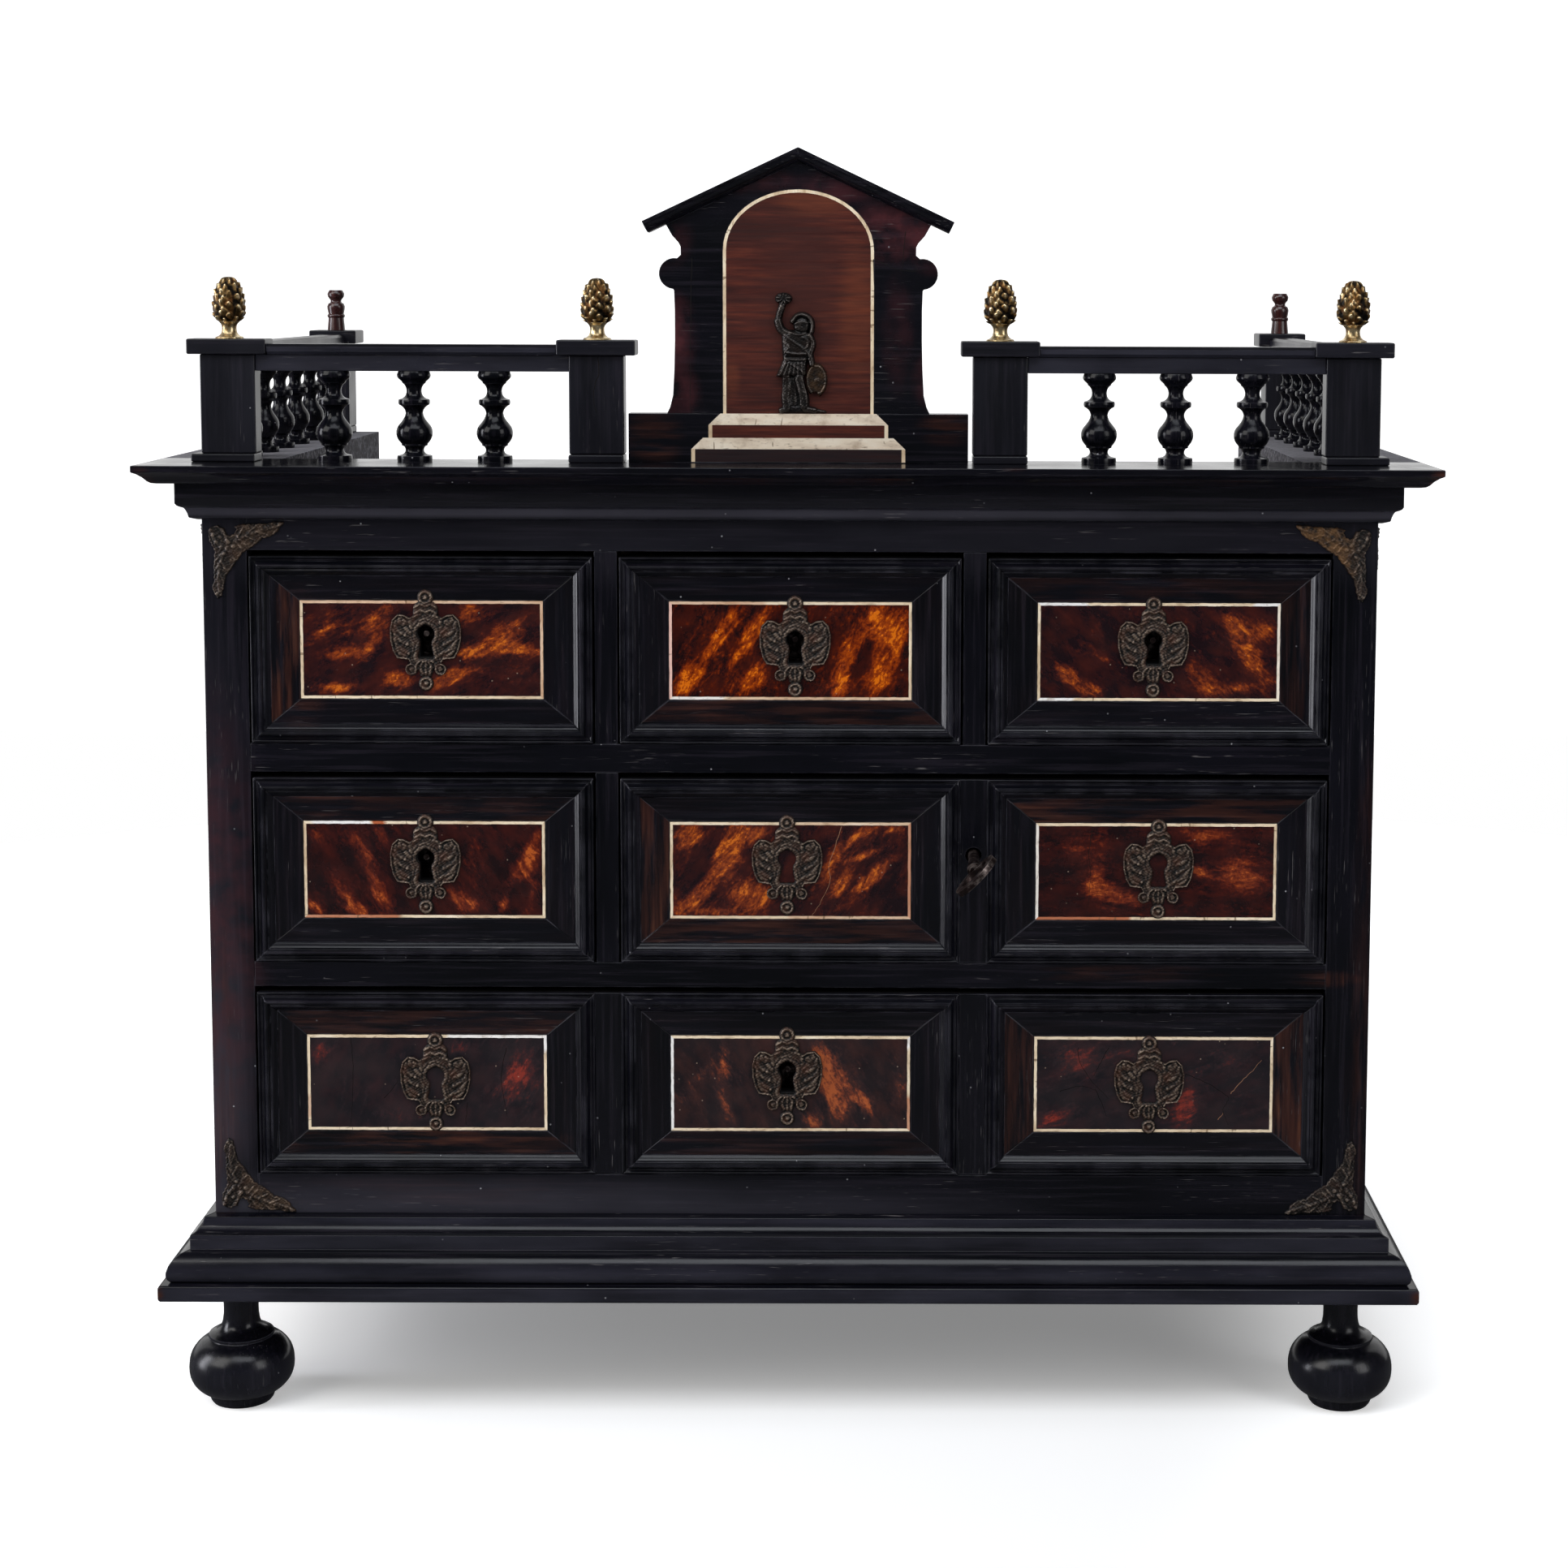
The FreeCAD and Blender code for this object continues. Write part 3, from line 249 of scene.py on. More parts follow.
# The cornice is rough where it faces the tray, in metres: how far from the middle, and how far forward
TRAY_SIDE = 0.2832
TRAY_FRONT = -0.0915


def ebonised_wood(name, gloss, worn=WORN_PLACES, red=(), haze_and_sheen=(), wax_and_sheen=0.0, edge_tint=0.7, uneven=0.3, shine=0.3,
                  rough_edge=False):
    """Near-black stained wood under old wax: grain, scratches, dust, brown wood where it is rubbed, haze at
    given places, and painted light: the wax haze is partly a painted sheen, one band of haze is a painted
    reflection, and the pale edges are partly painted highlights.
    """
    f = Finish(name, Specular_IOR_Level=shine)
    grain = f.attribute("grain")
    place = f.attribute("place")
    fibre = f.streaks(grain, (14, 420, 420), 5)
    broad = f.streaks(grain, (9, 30, 30), 3)
    cloudy = f.streaks(grain, (12, 50, 50), 5)
    upward = f.part(f.node("NewGeometry").outputs["Normal"], "Z")
    f.colour = f.blend(f.remap(broad, 0.35, 0.7), tint(5, 6, 10), tint(13, 13, 20))
    f.paint(f.remap(fibre, 0.5, 0.75, 0.0, 0.75), tint(31, 28, 36))
    # Wax haze: partly real haze, partly a painted sheen; it is left off faces that look up, so these are
    # painted darker than the rest.
    if wax_and_sheen:
        film = f.remap(cloudy, 0.35, 0.65, 0.3 * wax_and_sheen, wax_and_sheen)
        f.paint(f.times(film, f.remap(upward, 0.25, 0.7, 1.0, 0.0)), tint(54, 54, 65))
    # Haze at given places; the band along the cornice's cove is a painted reflection of the floor.
    f.paint_spots(place, haze_and_sheen, cloudy, (0.35, 0.65), 0.6, tint(56, 55, 64))
    f.paint_spots(place, red, f.noise(place, 70.0, 5), (0.34, 0.62), 0.0, tint(70, 34, 38))
    bare = f.attribute("brown", "Fac")
    for centre, reach, strength in worn:
        bare = f.math("MAXIMUM", bare, f.times(f.near(place, centre, reach), strength))
    ragged = f.times(bare, f.remap(f.streaks(grain, (22, 190, 190), 5), 0.4, 0.62))
    f.paint(ragged, f.ramp(fibre, [(0.3, 38, 20, 18), (0.55, 64, 34, 25), (0.75, 104, 60, 38)]))
    # Pale bluish lines along the edges: partly wear, partly painted highlights on the arrises.
    edge_wear_and_highlight = f.times(f.edges(0.0007), f.patches(grain, 60.0, 5, 0.42, 0.62))
    f.paint(f.times(edge_wear_and_highlight, edge_tint), tint(90, 89, 99))
    dust = f.times(f.remap(f.cells(grain, 95.0), 0.055, 0.03), f.patches(grain, 35.0, 4, 0.5, 0.6))
    f.paint(f.times(dust, 0.7), tint(160, 160, 165))
    scratch = f.remap(f.streaks(grain, (60, 1500, 900), 2), 0.66, 0.74)
    f.paint(f.times(f.times(scratch, f.remap(broad, 0.5, 0.62)), 0.45), tint(120, 116, 116))
    rough = f.plus(f.patches(grain, 22.0, 4, 0.3, 0.7, gloss, gloss + 0.1), f.times(fibre, 0.06))
    if rough_edge:
        behind = f.remap(f.part(place, "Y"), TRAY_FRONT, TRAY_FRONT + MM)
        inner = f.times(f.remap(f.math("ABSOLUTE", f.part(place, "X")), TRAY_SIDE + MM, TRAY_SIDE), behind)
        pitted = f.noise(grain, 330.0, 5, 0.7)
        f.paint(inner, f.ramp(pitted, [(0.36, 30, 28, 34), (0.52, 92, 90, 96), (0.66, 166, 166, 174)]))
        deck = f.times(f.remap(upward, 0.8, 0.95), behind)
        f.paint(f.times(deck, f.remap(pitted, 0.3, 0.6, 0.5, 0.9)), tint(142, 140, 146))
        rough = f.plus(rough, f.times(f.math("MAXIMUM", inner, deck), 0.55))
    waves = f.bump(f.noise(grain, 45.0, 3), 0.0003, uneven, Normal=f.bump(fibre, 0.0001, 0.6))
    return f.out(Roughness=rough, Normal=waves)


# The drawers' own wood is painted dark this far back from the front: painted shade where it shows in the gaps
# round the drawer fronts
SHADED_TO = -0.111


def raw_wood(name, dark, pale, rough, dirt, boards=None, painted_shade=()):
    """Unpolished timber with open grain and old dirt, in boards where an axis and their width are given, and
    with painted shade at given places and along its front where these are given.
    """
    f = Finish(name, Specular_IOR_Level=0.3)
    grain = f.attribute("grain")
    place = f.attribute("place")
    if boards:
        axis, width = boards
        count = f.times(f.part(place, axis), 1 / width)
        whole = f.math("FLOOR", count)
        shift = f.node("CombineXYZ", X=f.times(whole, 3.7), Y=f.times(whole, 1.9)).outputs[0]
        grain = f.vector("ADD", grain, shift)
        seam = f.remap(f.math("ABSOLUTE", f.math("SUBTRACT", f.math("FRACT", count), 0.5)), 0.493, 0.497)
    fibre = f.streaks(grain, (10, 260, 260), 6, distortion=0.4)
    rings = f.streaks(grain, (3, 45, 45), 3, distortion=1.2)
    f.colour = f.blend(f.remap(rings, 0.35, 0.65), tint(*dark), tint(*pale))
    f.paint(f.remap(fibre, 0.5, 0.72, 0.0, 0.7), dimmed(dark, 0.45))
    f.paint(f.patches(grain, 14.0, 6, 0.4, 0.7, 0.0, dirt), tint(120, 112, 104))
    specks = f.noise(grain, 420.0, 4, 0.7)
    f.paint(f.remap(specks, 0.5, 0.66, 0.0, dirt), tint(38, 34, 36))
    f.paint(f.remap(specks, 0.44, 0.34, 0.0, dirt), tint(176, 172, 176))
    if boards:
        f.paint(seam, tint(14, 12, 12))
    # Painted shade: dark spots where one looks through a keyhole into the drawer, and the wood darkened along
    # its front where it shows in the gaps round the fronts.
    for centre, reach in painted_shade:
        f.paint(f.near(place, centre, reach), tint(9, 8, 9))
    if painted_shade:
        f.paint(f.remap(f.part(place, "Y"), SHADED_TO + 2 * MM, SHADED_TO), tint(12, 10, 12))
    relief = f.bump(specks, 0.0004, dirt, Normal=f.bump(fibre, 0.0003, 0.8))
    return f.out(Roughness=f.remap(fibre, 0.3, 0.7, rough - 0.1, rough + 0.1), Normal=relief)


# In the niche, in millimetres: where its middle is darker, where it is more golden, and a smudge near its top
NICHE_MIDDLE = ((4, -117, 625), (30, 20, 70))
NICHE_GLOWS = [
    ((36, -117, 610), (14, 20, 50)), ((12, -117, 672), (30, 20, 12)), ((-32, -117, 575), (6, 20, 14)),
]
NICHE_SMUDGE = ((-24, -117, 655), (30, 20, 7))


def polished_wood(name, stops, gloss, shine, niche=0.0):
    """Red-brown polished wood with dark pores along the grain, and the niche's own shades at a strength."""
    f = Finish(name, Specular_IOR_Level=shine)
    grain = f.attribute("grain")
    fibre = f.streaks(grain, (22, 700, 700))
    figure = f.streaks(grain, (9, 60, 60), 5, distortion=0.3)
    fine = f.streaks(grain, (34, 400, 400), 6, rough=0.65)
    level = f.plus(f.remap(figure, 0.3, 0.7, 0.2, 0.55), f.remap(fine, 0.3, 0.7, -0.25, 0.4))
    f.colour = f.ramp(level, stops)
    f.paint(f.remap(fibre, 0.52, 0.7, 0.0, 0.55), dimmed(stops[0][1:], 0.4))
    f.paint(f.attribute("brown", "Fac"), tint(24, 20, 24))
    if niche:
        place = f.attribute("place")
        f.paint(f.times(f.near(place, *NICHE_MIDDLE), niche), tint(56, 27, 24))
        for centre, reach in NICHE_GLOWS:
            glow = f.times(f.near(place, centre, reach), f.remap(fine, 0.3, 0.6, 0.3, 1.0))
            f.paint(f.times(glow, niche), tint(102, 50, 30))
        smudge = f.times(f.near(place, *NICHE_SMUDGE), f.remap(fine, 0.4, 0.6))
        f.paint(f.times(smudge, niche), tint(30, 17, 18))
    return f.out(Roughness=f.remap(fibre, 0.3, 0.7, gloss, gloss + 0.15), Normal=f.bump(fibre, 0.0001, 0.5))


def old_bone(name):
    """Old bone: cream, with whiter, pinkish and orange-brown stretches, dark pores and soiled joints."""
    f = Finish(name, Specular_IOR_Level=0.45)
    grain = f.attribute("grain")
    cloud = f.streaks(grain, (50, 200, 200))
    f.colour = f.ramp(cloud, [(0.3, 196, 170, 138), (0.5, 226, 206, 176), (0.7, 238, 224, 200)])
    tone = f.plus(f.attribute("tone", "Fac"), f.attribute("brown", "Fac"))
    f.paint(f.remap(tone, 0.0, 1.0), tint(236, 234, 232))
    f.paint(f.remap(tone, 0.0, -1.0), tint(176, 92, 52))
    f.paint(f.remap(tone, 1.0, 2.0), tint(222, 158, 136))
    pores = f.remap(f.streaks(grain, (260, 1100, 1100), 3), 0.6, 0.74, 0.0, 0.7)
    f.paint(pores, tint(92, 58, 34))
    f.paint(f.patches(grain, 110.0, 4, 0.55, 0.75, 0.0, 0.55), tint(140, 112, 84))
    cracks = f.remap(f.streaks(grain, (330, 60, 40), 1, distortion=0.6), 0.71, 0.73)
    f.paint(f.times(cracks, 0.7), tint(110, 84, 60))
    return f.out(Roughness=f.remap(cloud, 0.3, 0.7, 0.3, 0.5), Normal=f.bump(pores, 0.0001, 0.5))


def cast_metal(name, dark, middle, worn, gloss, metal, earth, edge_tint):
    """Cast metal: dark in the hollows, rubbed bright on the high places."""
    f = Finish(name, Metallic=metal, Specular_IOR_Level=0.5)
    grain = f.attribute("grain")
    mottle = f.noise(grain, 260.0, 5)
    fine = f.noise(grain, 900.0, 3)
    level = f.plus(f.attribute("rise", "Fac"), f.remap(mottle, 0.3, 0.7, -0.28, 0.28))
    f.colour = f.ramp(level, [(0.14, *dark), (0.46, *middle), (0.98, *worn)])
    f.paint(f.patches(grain, 90.0, 4, 0.52, 0.7, 0.0, 0.6), dimmed(middle, 0.5))
    red, green, blue = tint(*middle)
    f.paint(f.patches(grain, 150.0, 5, 0.5, 0.66, 0.0, earth), (red * 1.7, green * 1.15, blue * 0.85))
    f.paint(f.times(f.attribute("warm", "Fac"), f.remap(mottle, 0.35, 0.6)), tint(112, 80, 48))
    f.paint(f.times(f.edges(0.0004), f.remap(mottle, 0.4, 0.6, 0.0, edge_tint)), tint(*worn))
    rough = f.plus(f.remap(level, 0.2, 0.9, gloss + 0.22, gloss), f.times(fine, 0.12))
    return f.out(Roughness=rough, Normal=f.bump(fine, 0.00005, 0.5, Normal=f.bump(mottle, 0.00018, 0.8)))


def tortoiseshell(name, stops, gloss, veil):
    """Polished shell over a red ground: dark clouds round amber flames, under a clear hard surface."""
    f = Finish(name, Specular_IOR_Level=0.28, Coat_Weight=0.08, Coat_Roughness=0.1)
    grain = f.attribute("grain")
    flow = f.attribute("flow")
    flame = f.attribute("amber", "Fac")
    wide = f.streaks(flow, (52, 120, 1), 6, rough=0.62, distortion=1.1)
    feather = f.streaks(flow, (130, 340, 1), 6, rough=0.66, distortion=0.8)
    level = f.plus(flame, f.remap(wide, 0.25, 0.75, -0.4, 0.28))
    level = f.plus(level, f.remap(feather, 0.25, 0.75, -0.42, 0.26))
    level = f.plus(level, f.remap(f.noise(grain, 520.0, 6, 0.75), 0.3, 0.7, -0.3, 0.16))
    f.colour = f.ramp(level, stops)
    third = tint(*stops[2][1:])
    redder = f.times(f.remap(f.streaks(flow, (60, 90, 1)), 0.42, 0.68), f.remap(level, 0.62, 0.3))
    f.paint(f.times(redder, 0.55), third)
    f.paint(f.times(f.remap(f.cells(grain, 620.0), 0.2, 0.06, 0.0, 0.45), f.remap(flame, 0.4, 0.9)), third)
    f.paint(f.remap(f.streaks(grain, (40, 40, 60), 3), 0.4, 0.7, 0.0, veil), tint(44, 34, 36))
    f.paint(f.times(f.remap(f.cells(grain, 130.0), 0.06, 0.03), 0.5), tint(170, 150, 130))
    rough = f.patches(grain, 60.0, 4, 0.3, 0.7, gloss, gloss + 0.15)
    return f.out(Roughness=rough, Normal=f.bump(wide, 0.0002, 0.3))


def crack_filler(name, colour, rough):
    """Dirt in a crack, with a faint grain."""
    f = Finish(name, Specular_IOR_Level=0.2)
    speck = f.noise(f.attribute("grain"), 300.0, 3)
    f.colour = f.blend(speck, dimmed(colour, 0.6), tint(*colour))
    return f.out(Roughness=f.remap(speck, 0.3, 0.7, rough - 0.1, rough + 0.1))


# Drawer fronts: three columns and three rows of panels, in millimetres from the middle and from the floor
COLUMN_X = 201.37
ROW_LEVELS = [426.85, 304.85, 184.85]
SHELL_HALF = (64.75, 25.45)
BONE_HALF = (66.235, 26.95)
BONE_WIDTH = 1.5
SHELL_FACE_Y = -126.5
CORE_FACE_Y = -125.0

# Panels with a real lock. The other escutcheons are blind
OPEN_LOCKS = (0, 1, 2, 3, 7)

# Row by row from the top left. Each flame is given as across, up, half length, half width, tilt in
# degrees, strength. Tones are stretches of the bone line, from and to as shares of a side, whiter over 0 and
# browner under it. Brown is how far each side of the veneer frame has gone brown.
PANELS = [
    {"drawer": "drawer_top_left", "keyhole": (-199.07, 435.56), "shell": "amber", "lean": 28, "ground": 0.33,
     "flames": [
         (-25, 16, 11, 4, 45, 0.5), (-42, -2, 9, 3, 8, 0.7), (-55, 9, 9, 2.2, 30, 0.45),
         (-27, 3, 11, 2.8, 50, 0.5), (-13, -16, 7, 4, -5, 0.8), (13, -17, 9, 4, 28, 0.75),
         (26, 21, 7, 5.5, 20, 0.6), (44, 8, 13, 5.5, 35, 0.65), (28, -1, 10, 3.2, 5, 0.65),
         (54, 0, 11, 3, -5, 0.6), (-47, -21, 9, 3, 5, 0.55), (22, -12, 10, 3, 15, 0.25),
         (-50, 18, 10, 6, 20, 0.22), (-38, 14, 10, 4, 40, 0.25), (50, -14, 14, 5, 10, 0.14)
     ],
     "tones": [("top", 0.0, 1.0, -0.35), ("right", 0.0, 1.0, -0.3)],
     "brown": {"left": 0.75}},
    {"drawer": "drawer_top_centre", "keyhole": (2.62, 432.85), "shell": "orange", "lean": 60, "ground": 0.48,
     "flames": [
         (-37, 10, 14, 3.4, 58, 0.75), (-23, 5, 18, 3.6, 60, 0.6), (-56, -16, 9, 4.5, 50, 0.75),
         (-20, -15, 9, 4, 48, 0.7), (31, -4, 17, 5, 75, 0.42), (54, 8, 12, 8, 70, 0.62),
         (50, -12, 10, 6, 60, 0.7), (27, -19, 6, 4, 70, 0.55), (45, 16, 8, 5, 60, 0.5),
         (40, -3, 16, 2.5, 62, -0.4), (-62, 6, 14, 3, 80, -0.3), (-30, -10, 12, 2.5, 58, -0.25)
     ],
     "tones": [("left", 0.0, 1.0, 1.7), ("low", 0.0, 0.22, 0.8), ("top", 0.0, 0.4, -0.35),
               ("low", 0.25, 1.0, -0.25)],
     "brown": {"low": 0.45}},
    {"drawer": "drawer_top_right", "keyhole": (198.38, 433.03), "shell": "amber", "lean": -40, "ground": 0.28,
     "flames": [
         (-50, -13, 9, 4, -35, 0.75), (-37, -21, 6, 3, -20, 0.75), (-28, -4, 7, 1.6, -20, 0.4),
         (-35, 12, 10, 1.5, 50, 0.16), (44, 8, 9, 6, -55, 0.66), (51, -5, 8, 4.5, -50, 0.75),
         (58, 12, 7, 6, 30, 0.5), (40, 18, 9, 3, -20, 0.35), (26, -15, 9, 6, -50, 0.5),
         (40, -20, 12, 3, 5, 0.45), (58, -17, 8, 5, 10, 0.35), (18, -6, 4, 3, 60, 0.3),
         (20, 15, 12, 5, 0, 0.14), (-12, 20, 10, 3, 0, 0.2)
     ],
     "tones": [("top", 0.0, 0.2, 1.0), ("top", 0.9, 1.0, 1.0), ("right", 0.0, 1.0, 0.4),
               ("low", 0.0, 0.15, 1.0)],
     "brown": {"top": 0.25, "right": 0.3}},
    {"drawer": "drawer_middle_left", "keyhole": (-200.68, 311.36), "shell": "red", "lean": -58, "ground": 0.3,
     "flames": [
         (-58, 19, 6, 4, -70, 0.35), (-42, 19, 7, 3, -30, 0.25), (-32, 8, 14, 3, -62, 0.45),
         (-25, -14, 14, 3.5, -62, 0.55), (-43, -14, 12, 4, -55, 0.5), (-60, -22, 7, 3, -40, 0.6),
         (-38, -23, 8, 2.5, -10, 0.55), (-23, 19, 7, 3, -65, 0.4), (28, 6, 12, 4, 80, 0.28),
         (18, -16, 9, 4, -50, 0.6), (25, -20, 6, 3, 0, 0.5), (60, 13, 11, 3.5, 70, 0.6),
         (52, -2, 9, 4.5, 60, 0.72), (44, -19, 7, 2.5, 60, 0.65), (58, -16, 9, 3, 80, 0.6),
         (51, -14, 5, 6, 0, -0.7)
     ],
     "tones": [("top", 0.03, 0.28, 1.0), ("top", 0.28, 0.33, -1.0), ("low", 0.0, 0.4, -0.8)],
     "brown": {"top": 0.4}},
    {"drawer": "drawer_middle_double", "keyhole": (-1.79, 311.54), "shell": "amber", "lean": 50,
     "ground": 0.42,
     "flames": [
         (-56, 19, 8, 5, 30, 0.72), (-34, 13, 17, 6, 62, 0.85), (-52, -14, 10, 4, 50, 0.7),
         (-62, -22, 5, 4, 0, 0.5), (-21, -14, 10, 8, 30, 0.72), (-17, 20, 6, 5, 45, 0.45),
         (-43, -23, 9, 2.5, -5, 0.4), (21, 3, 12, 5, 65, 0.42), (28, -7, 8, 3, 60, 0.6),
         (45, -4, 10, 3.2, 45, 0.78), (40, 8, 7, 2, 20, 0.45), (42, 22, 7, 2, 30, 0.45),
         (57, 23, 5, 2, 20, 0.45), (33, 17, 8, 3, 60, 0.3), (-47, 6, 16, 3, 62, -0.4),
         (56, -16, 9, 8, 20, -0.2)
     ],
     "tones": [("right", 0.0, 1.0, -0.75), ("top", 0.5, 1.0, -0.2), ("low", 0.5, 1.0, -0.3)],
     "brown": {"left": 0.6, "low": 0.55},
     "pale_cracks": [[(28, 25), (24, 12), (21, 2), (22, -5), (17, -17), (12, -25)]]},
    {"drawer": "drawer_middle_double", "keyhole": (202.65, 309.93), "shell": "red", "lean": 0, "ground": 0.34,
     "flames": [
         (-24, -13, 14, 5, -12, 0.75), (-33, -4, 6, 4, 60, 0.55), (-34, 11, 9, 7, 30, 0.3),
         (20, 20, 12, 4, -5, 0.45), (35, 20, 9, 3, -10, 0.45), (24, 0, 7, 2.2, -15, 0.7),
         (45, 1, 12, 8, 20, 0.42), (52, -6, 12, 6, 10, 0.38), (-48, 13, 10, 3, -20, 0.25),
         (-55, -8, 9, 8, 0, -0.2)
     ],
     "tones": [("left", 0.0, 1.0, 0.7), ("low", 0.0, 0.4, -0.9)],
     "brown": {"top": 0.55},
     "cracks": [[(-35, 25), (-37, 10), (-36, -4), (-38, -25)]]},
    {"drawer": "drawer_bottom", "keyhole": (-196.77, 188.87), "shell": "dull", "lean": 60, "ground": 0.22,
     "flames": [
         (-59, 17, 7, 5, 60, 0.45), (52, 4, 16, 9, 85, 0.5), (18, 20, 7, 4, 0, 0.4),
         (-14, -19, 12, 5, 0, 0.28), (46, -2, 8, 4, 60, 0.2)
     ],
     "tones": [("top", 0.58, 1.0, 0.9), ("left", 0.1, 0.35, -0.4), ("right", 0.85, 1.0, 1.0)],
     "brown": {"low": 0.4, "top": 0.45},
     "cracks": [
         [(-42, 25), (-41, 5), (-43, -25)], [(44, 20), (41, 2), (44, -19)], [(22, -11), (21, -24)],
         [(-24, -9), (-16, 1)]
     ]},
    {"drawer": "drawer_bottom", "keyhole": (-1.79, 192.46), "shell": "rust", "lean": -62, "ground": 0.26,
     "flames": [
         (-37, 10, 15, 3, 88, 0.4), (-35, -15, 12, 2.5, -70, 0.4), (-50, 5, 8, 3, 45, 0.3),
         (-60, -7, 8, 4, 10, 0.26), (-27, 0, 10, 2.5, -50, 0.22), (18, 15, 10, 4.5, -50, 0.7),
         (24, 0, 12, 7, -60, 0.85), (26, -13, 8, 4, -75, 0.7), (40, -10, 11, 4, -50, 0.6),
         (12, -21, 6, 4, -30, 0.6), (61, -3, 12, 4, 85, 0.3)
     ],
     "tones": [("left", 0.0, 1.0, 1.0), ("right", 0.0, 0.35, -0.7), ("right", 0.9, 1.0, 0.9)],
     "brown": {"low": 0.2}},
    {"drawer": "drawer_bottom", "keyhole": (198.97, 188.23), "shell": "dull", "lean": 20, "ground": 0.24,
     "flames": [
         (-41, 13, 12, 9, -10, 0.45), (18, -12, 13, 6, 80, 0.75), (-56, -19, 12, 5, 10, 0.45),
         (-14, 17, 10, 3, 0, 0.38), (38, 12, 12, 6, 10, 0.22), (7, -8, 12, 3, 85, 0.3)
     ],
     "brown": {"left": 0.5, "right": 0.7},
     "cracks": [
         [(18, 6), (30, 1), (39, -5), (42, -8), (39, -14), (42, -23)],
         [(-42, 21), (-41, 13), (-35, 3), (-25, -8)], [(-25, 21), (-30, 11), (-33, 5)],
         [(-52, -4), (-41, -1), (-32, -3)], [(-32, -3), (-28, -12), (-26, -18)]
     ],
     "pale_cracks": [[(43, -5), (49, 2), (54, 7), (60, 14)], [(36, -20), (39, -16)]]},
]


def panel_centre(number):
    return (number % 3 - 1) * COLUMN_X, ROW_LEVELS[number // 3]


def panel_name(number):
    return "%s_%s" % (PANELS[number]["drawer"], ("left", "centre", "right")[number % 3])


# The materials in use
EBONY = ebonised_wood("ebonised_wood", 0.14)
EBONY_FRAME = ebonised_wood("ebonised_frame_wood", 0.13, red=STILE_CLOUDS, haze_and_sheen=HAZE_AND_SHEEN_PLACES, shine=0.22)
EBONY_POSTS = ebonised_wood("ebonised_posts_wood", 0.24, wax_and_sheen=0.22, edge_tint=0.5)
EBONY_RAILS = ebonised_wood("ebonised_rails_wood", 0.24, wax_and_sheen=0.6, edge_tint=0.5)
EBONY_BASE = ebonised_wood("ebonised_base_wood", 0.1, wax_and_sheen=0.5, edge_tint=0.15)
EBONY_TURNED = ebonised_wood("ebonised_turned_wood", 0.1, (), uneven=0.05, edge_tint=0.3, shine=0.18)
EBONY_FEET = ebonised_wood("ebonised_feet_wood", 0.16, (), uneven=0.15, wax_and_sheen=0.2)
EBONY_PEDIMENT = ebonised_wood("ebonised_plum_wood", 0.18, (), red=PLUM_PLACES)
EBONY_CORNICE = ebonised_wood("ebonised_cornice_wood", 0.1, haze_and_sheen=HAZE_AND_SHEEN_PLACES, rough_edge=True)
OLD_TIMBER = ((84, 66, 52), (122, 100, 80), 0.75, 0.3)
CARCASS = raw_wood("carcass_wood", *OLD_TIMBER)
BACK = raw_wood("back_board_wood", *OLD_TIMBER, boards=("Z", 0.1425))
TRAY = raw_wood("tray_wood", (66, 58, 56), (98, 90, 88), 0.8, 0.85, boards=("Y", 0.103))
# Painted shade behind each keyhole, where one looks into the drawer.
KEYHOLE_SHADE = [((x, -118, z - 4), (11, 16, 16)) for x, z in (panel["keyhole"] for panel in PANELS)]
DRAWER_WOOD = raw_wood("drawer_wood", (120, 84, 54), (158, 118, 78), 0.6, 0.2, painted_shade=KEYHOLE_SHADE)
NICHE_STOPS = [(0.1, 48, 20, 18), (0.5, 72, 31, 24), (0.9, 98, 46, 31)]
NICHE_WOOD = polished_wood("niche_wood", NICHE_STOPS, 0.4, 0.25, 0.6)
FINIAL_STOPS = [(0.1, 36, 16, 18), (0.5, 54, 25, 24), (0.9, 84, 42, 36)]
FINIAL_WOOD = polished_wood("red_brown_wood", FINIAL_STOPS, 0.18, 0.55)
BONE = old_bone("bone")
DARK_BRONZE = cast_metal("dark_bronze", (10, 9, 8), (50, 36, 29), (118, 102, 88), 0.3, 0.4, 0.9, 0.4)
FIGURE_BRONZE = cast_metal("figure_bronze", (7, 6, 6), (24, 20, 19), (76, 70, 66), 0.14, 0.5, 0.6, 0.3)
MOUNT_BRONZE = cast_metal("mount_bronze", (7, 7, 7), (37, 29, 26), (112, 98, 86), 0.3, 0.4, 0.7, 0.35)
GILT = cast_metal("gilt_brass", (16, 11, 7), (126, 98, 58), (255, 236, 190), 0.18, 0.9, 0.3, 0.7)
IRON = cast_metal("iron", (14, 10, 10), (36, 24, 23), (178, 164, 158), 0.16, 0.75, 0.3, 0.9)

